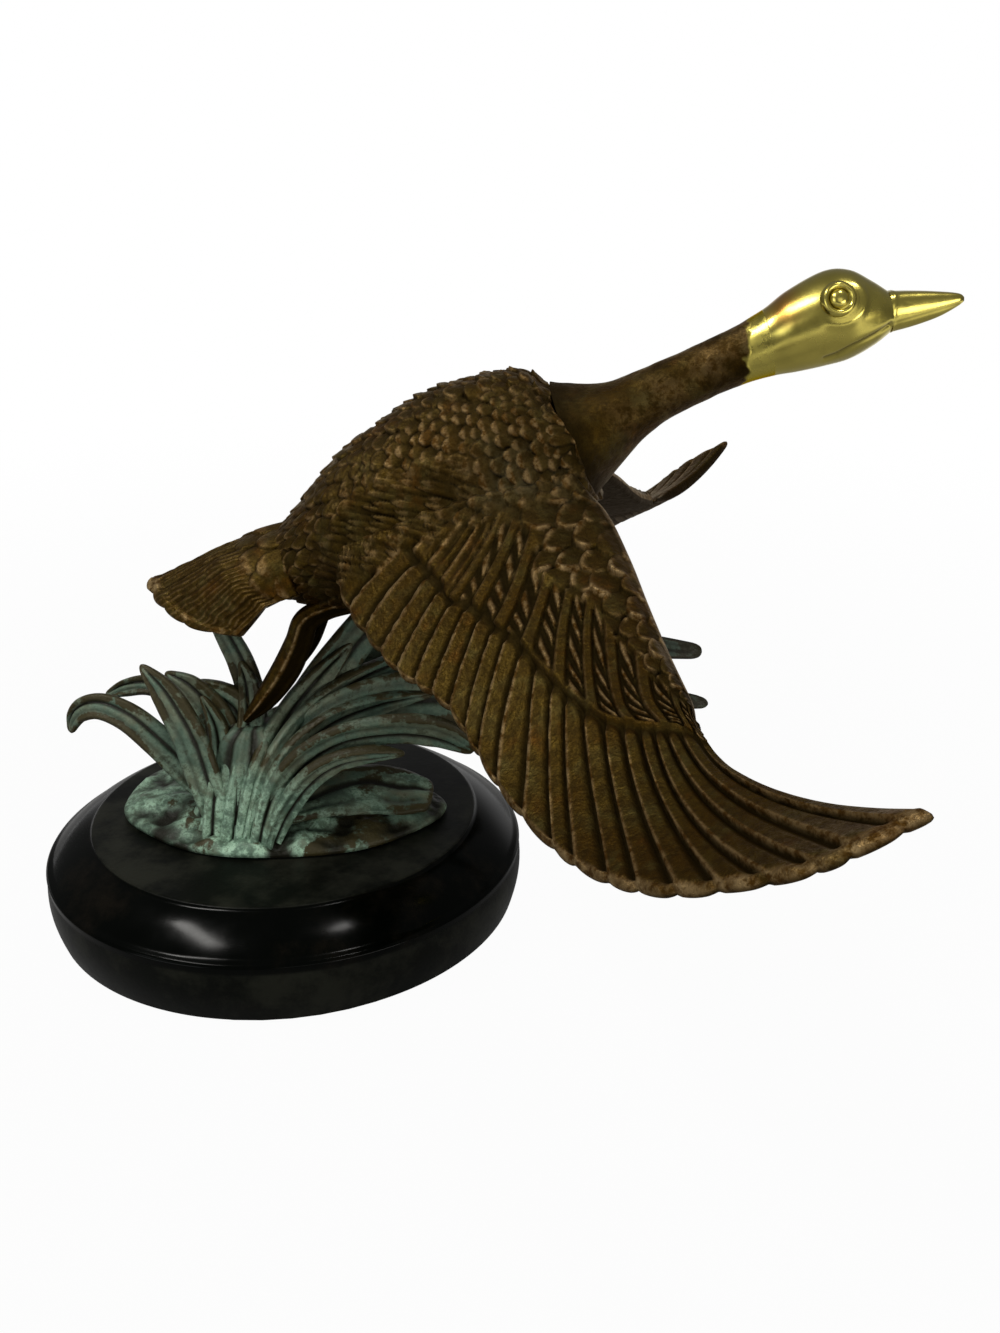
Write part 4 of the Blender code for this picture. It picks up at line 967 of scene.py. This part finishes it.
def blade(line, thickness, lean, steps, lines=((-0.22, 1), (0.44, 0.45)), count=BLADE_POINTS, crest=0):
    """Rings of a channelled blade with rolled rims, and values for its material, whose height value paints
    shade in the grooves, under the wing and at the edges. lines are the place across and the depth of
    each groove, and crest is the height of a fold along it."""
    last = len(line) - 1
    t = np.concatenate([np.linspace(0, last - 0.1, last * steps),
                        last - 0.1 + 0.1 * np.sin(np.linspace(0.1, 1.57, 10))])
    stations = curve(line, t)
    places = stations[:, :3] + [0, 0, BASE_TOP]
    narrowing = held((t[:, None] - last + 0.3) / 0.3) ** 2.5
    half = stations[:, 3:4] * np.sqrt(np.maximum(0.03, 1 - narrowing))
    ahead = unit(np.gradient(places, axis=0))
    side = unit(np.cross(ahead, [0, 1, 0]))
    side = np.array([list(Matrix.Rotation(math.radians(lean), 3, Vector(d).normalized()) @ Vector(s))
                     for s, d in zip(side, ahead)])
    face = unit(np.cross(side, ahead))
    seed = int(abs(line[-1][0]) * 3)
    depth = thickness * np.clip(half / 2, 0.12, 1)
    a = ring_angles(count)
    across = -np.cos(a)[None, :]
    upper = (np.sin(a) > 0)[None, :]
    body = 0.5 * np.abs(np.sin(a))[None, :] ** 0.55
    long = t[:, None] / last
    drift = 0.16 * noise(plane(long * 4, 0 * long), 1, seed)
    grooves = sum(share * bump(across + drift, place, 0.15) for place, share in lines)
    rims = bump(np.abs(across), 0.80, 0.16)
    wave = 0.06 * noise(plane(across * 3 + 0 * long, long * 18 + 0 * across), 1, seed + 1)
    fades = fall(0.85, 1, long)
    fold = crest * held(1 - np.abs(across + 0.2) / 0.75)
    b = np.where(upper, 1, -0.9) * (body + fold + (0.14 * rims - 0.32 * grooves) * fades + wave)
    rings = places[:, None] + side[:, None] * (across * half)[..., None]
    rings = rings + face[:, None] * (b * depth)[..., None]
    low = places[:, None, 2] - BASE_TOP + 0 * across
    bare = 0.72 - 0.32 * smooth(18, 32, low) * fall(-6, 6, rings[..., 0])
    edge = smooth(-0.12, 0.12, np.abs(across) - bare) * smooth(-0.7, 0.1, noise(rings, 11, 34))
    tip = smooth(0.86, 1, long) + 0 * across
    grooves = held(grooves) * fades
    # Painted shade: darker beyond x = 40, under the wing, and towards both edges of the blade
    shade = 1 - 0.45 * smooth(40, 65, rings[..., 0])
    shade = shade * (1 - 0.32 * smooth(0.78, 1, np.abs(across)))
    # The height value also paints shade in the grooves
    return rings, {"height": held(1 - 0.85 * grooves) * shade,
                   "rim": held((0.8 * edge + 0.45 * grooves) * smooth(0, 0.3, long) + 0.75 * tip),
                   "pale": fall(6, 24, low) * 0.85 + 0.15}


for name, lean, line in REEDS:
    make_cast(name, "verdigris", blade(line, REED_THICKNESS, lean, 14))


def build_leaf():
    """Broad fallen leaf with pale and brown patches."""
    rings, values = blade(LEAF, LEAF_THICKNESS, LEAF_LEAN, 22, count=96)
    values["pale"] = held(0.35 + 0.8 * noise(rings, 9, 14))
    values["rim"] = held(values["rim"] + 0.6 * smooth(0.1, 0.5, noise(rings, 8, 15)))
    make_cast("fallen_leaf", "verdigris", (rings, values))


def build_leg(side, sign):
    """Folded leg and webbed foot with a worn line down its fold that is also its painted highlight, and a
    painted shade over its far half.
    """
    rings, values = blade(LEG, LEG_THICKNESS, 0, 16, (), crest=0.5)
    across = -np.cos(ring_angles(BLADE_POINTS))
    # Painted shade over the far half of the leg
    shade = 0.68 - 0.6 * smooth(-0.12, 0.08, across)
    # worn here also paints the highlight along the fold's crest
    values = {"height": values["height"] * shade, "worn": 0.9 * bump(across, -0.22, 0.08)}
    make_cast(side + "_leg", "dark_bronze", (rings * [1, sign, 1], values))


build_leaf()
build_leg("right", 1)
build_leg("left", -1)


def build_mound():
    """Lumpy cast ground: pale rim at the left, brown patches at the right, a brown ring round the stems'
    foot that paints the shade of the crevice there, and painted shade in the low parts of the lumps.
    """
    half_length = TOP_RADIUS - 6.8
    layers = [(0, 0), (0.4, 0), (0.97, 0), (1, 0.12), (1.003, 0.5), (0.995, 0.85), (0.975, 1.05)]
    layers += [(s, 1 + 2.2 * (1 - s) ** 0.75) for s in np.linspace(0.95, 0.02, 70)]
    a = ring_angles(360)
    wave = 1 + 0.018 * np.sin(3 * a + 0.6) + 0.012 * np.sin(7 * a + 2)
    half_width = np.where(np.sin(a) < 0, 25.5, 22 * (1 - 0.3 * np.cos(a)))
    scale = np.array([max(share, 0.01) for share, _ in layers])[:, None]
    levels = np.array([level for _, level in layers])[:, None]
    z = BASE_TOP + 0.3 + 1.8 * np.minimum(levels, 1) + 2 * np.maximum(0, levels - 1)
    rings = np.stack([-0.8 + half_length * wave * scale * np.cos(a), half_width * wave * scale * np.sin(a),
                      z + 0 * a], -1)
    lumps = noise(rings, 6, 16) + 0.6 * noise(rings, 2.8, 17) + 0.2 * noise(rings, 1.2, 18)
    x, y = rings[..., 0] + 6, rings[..., 1] + 11.5
    stem = np.hypot(x, y)
    spokes = 0.8 * np.sin(9 * np.arctan2(y, x) + 1) * bump(stem, 17, 7)
    rings[..., 2] += smooth(0.85, 1.3, levels) * (lumps + spokes)
    rings[..., 2] = np.maximum(rings[..., 2], BASE_TOP + 0.25)
    left = fall(-24, 8, rings[..., 0])
    front = fall(-14, 2, rings[..., 1]) * fall(8, 22, rings[..., 0])
    pale = held(0.25 + 0.75 * np.maximum(left, front) + 0.3 * lumps)
    bare = smooth(0.1, 0.5, noise(rings, 7.5, 19) + 0.35 * smooth(6, 26, rings[..., 0]) - 0.35 * left)
    # A brown ring round the stems' foot, painted as the shade of the crevice there
    bare = np.maximum(bare, 0.9 * bump(stem, 12.5, 3) * smooth(-0.2, 0.3, noise(rings, 4, 33)))
    # Painted shade: low parts of the lumps are darker
    values = {"height": held(0.65 + 0.6 * lumps), "rim": 0.85 * bare, "pale": pale}
    make_cast("ground_plate", "verdigris", (rings, values))


def build_crown():
    """Fluted root clump where the reeds run together, with stems down its front, and painted shade in the
    flutes.
    """
    angles = ring_angles(144)[None, :]
    x, y, z, half_x, half_y = np.moveaxis(curve(CROWN_RINGS, np.linspace(0, 5, 90)), -1, 0)[:, :, None]
    flute = 1 + 0.07 * np.cos(8 * angles) + 0.02 * np.cos(24 * angles)
    rings = np.stack([x + half_x * flute * np.cos(angles), y + half_y * flute * np.sin(angles),
                      z + BASE_TOP + 0 * angles], -1)
    rings = raised(rings, 0.3 * noise(rings, 3, 20))
    # Painted shade: the flutes' hollows are darker and browner
    height = 0.5 + 0.5 * np.cos(8 * angles) + 0 * z
    values = {"height": held(0.25 + height), "rim": 0.35 * (1 - height),
              "pale": fall(8, 24, z) + 0 * angles}
    stems = [blade(line, STEM_THICKNESS, 10, 14, ((0.15, 1),)) for line in STEMS]
    make_cast("root_clump", "verdigris", (rings, values), *stems)


build_mound()
build_crown()


# Base


def build_base():
    """Turned base: flat top, fine rim, polished slope, crease and matt band, with the fixing's bore."""
    rim = np.array([TOP_RADIUS, BASE_TOP - RIM_ROUND])
    slope = np.array([CREASE_RADIUS, CREASE_HEIGHT]) - rim
    outward = np.array([-slope[1], slope[0]]) / np.hypot(*slope)
    profile = [(BORE_RADIUS, BASE_TOP), (TOP_RADIUS - 4, BASE_TOP), (TOP_RADIUS - 1, BASE_TOP)]
    profile += [(TOP_RADIUS - 0.6 + 0.6 * math.sin(b), BASE_TOP - RIM_ROUND + RIM_ROUND * math.cos(b))
                for b in np.linspace(0.2, 1.2, 5)]
    profile += [tuple(rim + slope * f + outward * (SLOPE_BULGE * f * (1 - f) + 0.5 * smooth(0.84, 1, f)))
                for f in np.linspace(0.03, 0.97, 48)]
    profile += [(CREASE_RADIUS - 0.15 + 0.5 * math.sin(b), CREASE_HEIGHT - 0.05 + 0.5 * math.cos(b))
                for b in np.linspace(0.6, 1.5, 6)]
    profile += [(CREASE_RADIUS + (FOOT_RADIUS - CREASE_RADIUS) * f ** 2 + BAND_SWELL * math.sin(math.pi * f),
                 CREASE_HEIGHT - (CREASE_HEIGHT - FOOT_HEIGHT) * f) for f in np.linspace(0.08, 1, 20)]
    profile += [(COUNTERBORE_RADIUS, FOOT_HEIGHT), (COUNTERBORE_RADIUS, COUNTERBORE_TOP),
                (BORE_RADIUS, COUNTERBORE_TOP)]
    rings = turned_rings(profile, 192)
    n, m = rings.shape[:2]
    i, j = np.meshgrid(np.arange(n), np.arange(m), indexing="ij")
    i2, j2 = (i + 1) % n, (j + 1) % m
    faces = np.stack([i * m + j, i2 * m + j, i2 * m + j2, i * m + j2], -1).reshape(-1, 4)
    matt = 0.65 - 0.65 * smooth(CREASE_HEIGHT - 1.8, CREASE_HEIGHT - 0.9, rings[..., 2])
    matt = np.maximum(matt, 0.8 * smooth(BASE_TOP - 0.3, BASE_TOP, rings[..., 2]))
    link_piece("marble_base_turned", "marble_base", "polished_stone", rings.reshape(-1, 3), faces,
               {"matt": matt}, STONE_SHARP)


build_base()


# Stage, light and camera


def build_stage():
    """Pale round floor that fades to pure white at its edge, so that no horizon shows."""
    count = 96
    turns = [math.tau * i / count for i in range(count)]
    mesh = bpy.data.meshes.new("floor")
    mesh.from_pydata([(FLOOR_RADIUS * math.cos(t), FLOOR_RADIUS * math.sin(t), 0) for t in turns], [],
                     [tuple(range(count))])
    material = bpy.data.materials.new("floor")
    material.use_nodes = True
    tree = material.node_tree
    tree.nodes.clear()
    path = add(tree, "ShaderNodeLightPath").outputs
    mirror = work(tree, "MAXIMUM", path["Is Glossy Ray"], path["Is Transmission Ray"])
    away = add(tree, "ShaderNodeVectorMath", {0: place_of(tree)}, operation="LENGTH").outputs["Value"]
    mirror = work(tree, "MULTIPLY", mirror, between(tree, away, 0.29, 0.43, 0.14, 1))
    seen = work(tree, "MAXIMUM", path["Is Camera Ray"], mirror)
    seen = work(tree, "MULTIPLY", seen, between(tree, away, 0.06, FLOOR_RADIUS, 0.97, 1))
    grain = patches(tree, 30, 0.3, 0.7, 0.29, 0.31)
    pale = add(tree, "ShaderNodeCombineColor", {0: grain, 1: grain, 2: grain}).outputs[0]
    matt = add(tree, "ShaderNodeBsdfDiffuse", {"Color": pale}).outputs[0]
    white = add(tree, "ShaderNodeEmission", {"Color": (1, 1, 1, 1), "Strength": 1}).outputs[0]
    mix = add(tree, "ShaderNodeMixShader", {0: seen, 1: matt, 2: white}).outputs[0]
    add(tree, "ShaderNodeOutputMaterial", {"Surface": mix})
    mesh.materials.append(material)
    obj = bpy.data.objects.new("floor", mesh)
    bpy.context.scene.collection.objects.link(obj)


def build_world():
    """White for the camera and dim for light. Reflections find it dim, and paler low down behind."""
    world = bpy.data.worlds.new("studio")
    bpy.context.scene.world = world
    world.use_nodes = True
    tree = world.node_tree
    tree.nodes.clear()
    path = add(tree, "ShaderNodeLightPath").outputs
    sky = add(tree, "ShaderNodeTexCoord").outputs["Generated"]
    way = add(tree, "ShaderNodeSeparateXYZ", {0: sky}).outputs
    wall = work(tree, "MULTIPLY", between(tree, way["Y"], 0.72, 0.93, 0, 0.6),
                between(tree, way["Z"], 0.1, 0.4, 1, 0))
    shine = work(tree, "ADD", wall, between(tree, way["Z"], 0.1, 0.60, 0.13, 0.20))
    mirror = work(tree, "MAXIMUM", path["Is Glossy Ray"], path["Is Transmission Ray"])
    dim = add(tree, "ShaderNodeMix", {0: mirror, 2: 0.12, 3: shine}).outputs[0]
    strength = add(tree, "ShaderNodeMix", {0: path["Is Camera Ray"], 2: dim, 3: 1}).outputs[0]
    light = add(tree, "ShaderNodeBackground", {"Color": (1, 1, 1, 1), "Strength": strength}).outputs[0]
    add(tree, "ShaderNodeOutputWorld", {"Surface": light})


def add_light(name, place, aim, width, height, power, colour):
    light = bpy.data.lights.new(name, "AREA")
    light.shape = "RECTANGLE"
    light.size, light.size_y = width, height
    light.energy = power
    light.color = colour
    obj = bpy.data.objects.new(name, light)
    bpy.context.scene.collection.objects.link(obj)
    obj.location = place
    obj.rotation_mode = "QUATERNION"
    obj.rotation_quaternion = (Vector(place) - Vector(aim)).to_track_quat("Z", "Y")


def build_camera():
    """The camera that was solved from the two ellipses of the base."""
    camera = bpy.data.cameras.new("camera")
    camera.sensor_width = 36
    camera.lens = 32.65
    camera.clip_start = 0.01
    camera.clip_end = 30
    obj = bpy.data.objects.new("camera", camera)
    bpy.context.scene.collection.objects.link(obj)
    right = Vector((0.99748, 0.07098, 0))
    forward = Vector((-0.06617, 0.92997, -0.36162)).normalized()
    up = right.cross(forward).normalized()
    matrix = Matrix((right, up, -forward)).transposed().to_4x4()
    matrix.translation = Vector((0.0696, -0.2555, 0.1588))
    obj.matrix_world = matrix
    bpy.context.scene.camera = obj


build_stage()
build_world()
middle = (0.04, 0, 0.07)
head = (0.12, 0, 0.13)
add_light("key", (-0.42, -0.22, 0.88), middle, 0.40, 0.09, 4.5, (1, 0.98, 0.94))
add_light("top", (0.30, -0.08, 1), middle, 0.22, 0.08, 2, (1, 0.98, 0.95))
add_light("front", (0.35, -0.95, 0.48), head, 0.5, 0.45, 0.7, (1, 0.99, 0.95))
add_light("side", (0.80, -0.80, 0.17), head, 0.62, 0.3, 3.1, (1, 0.98, 0.93))
add_light("fill", (-0.7, -0.8, 0.35), middle, 0.6, 0.5, 2.3, (0.97, 0.99, 1))
build_camera()
bpy.context.scene.view_settings.view_transform = "Standard"
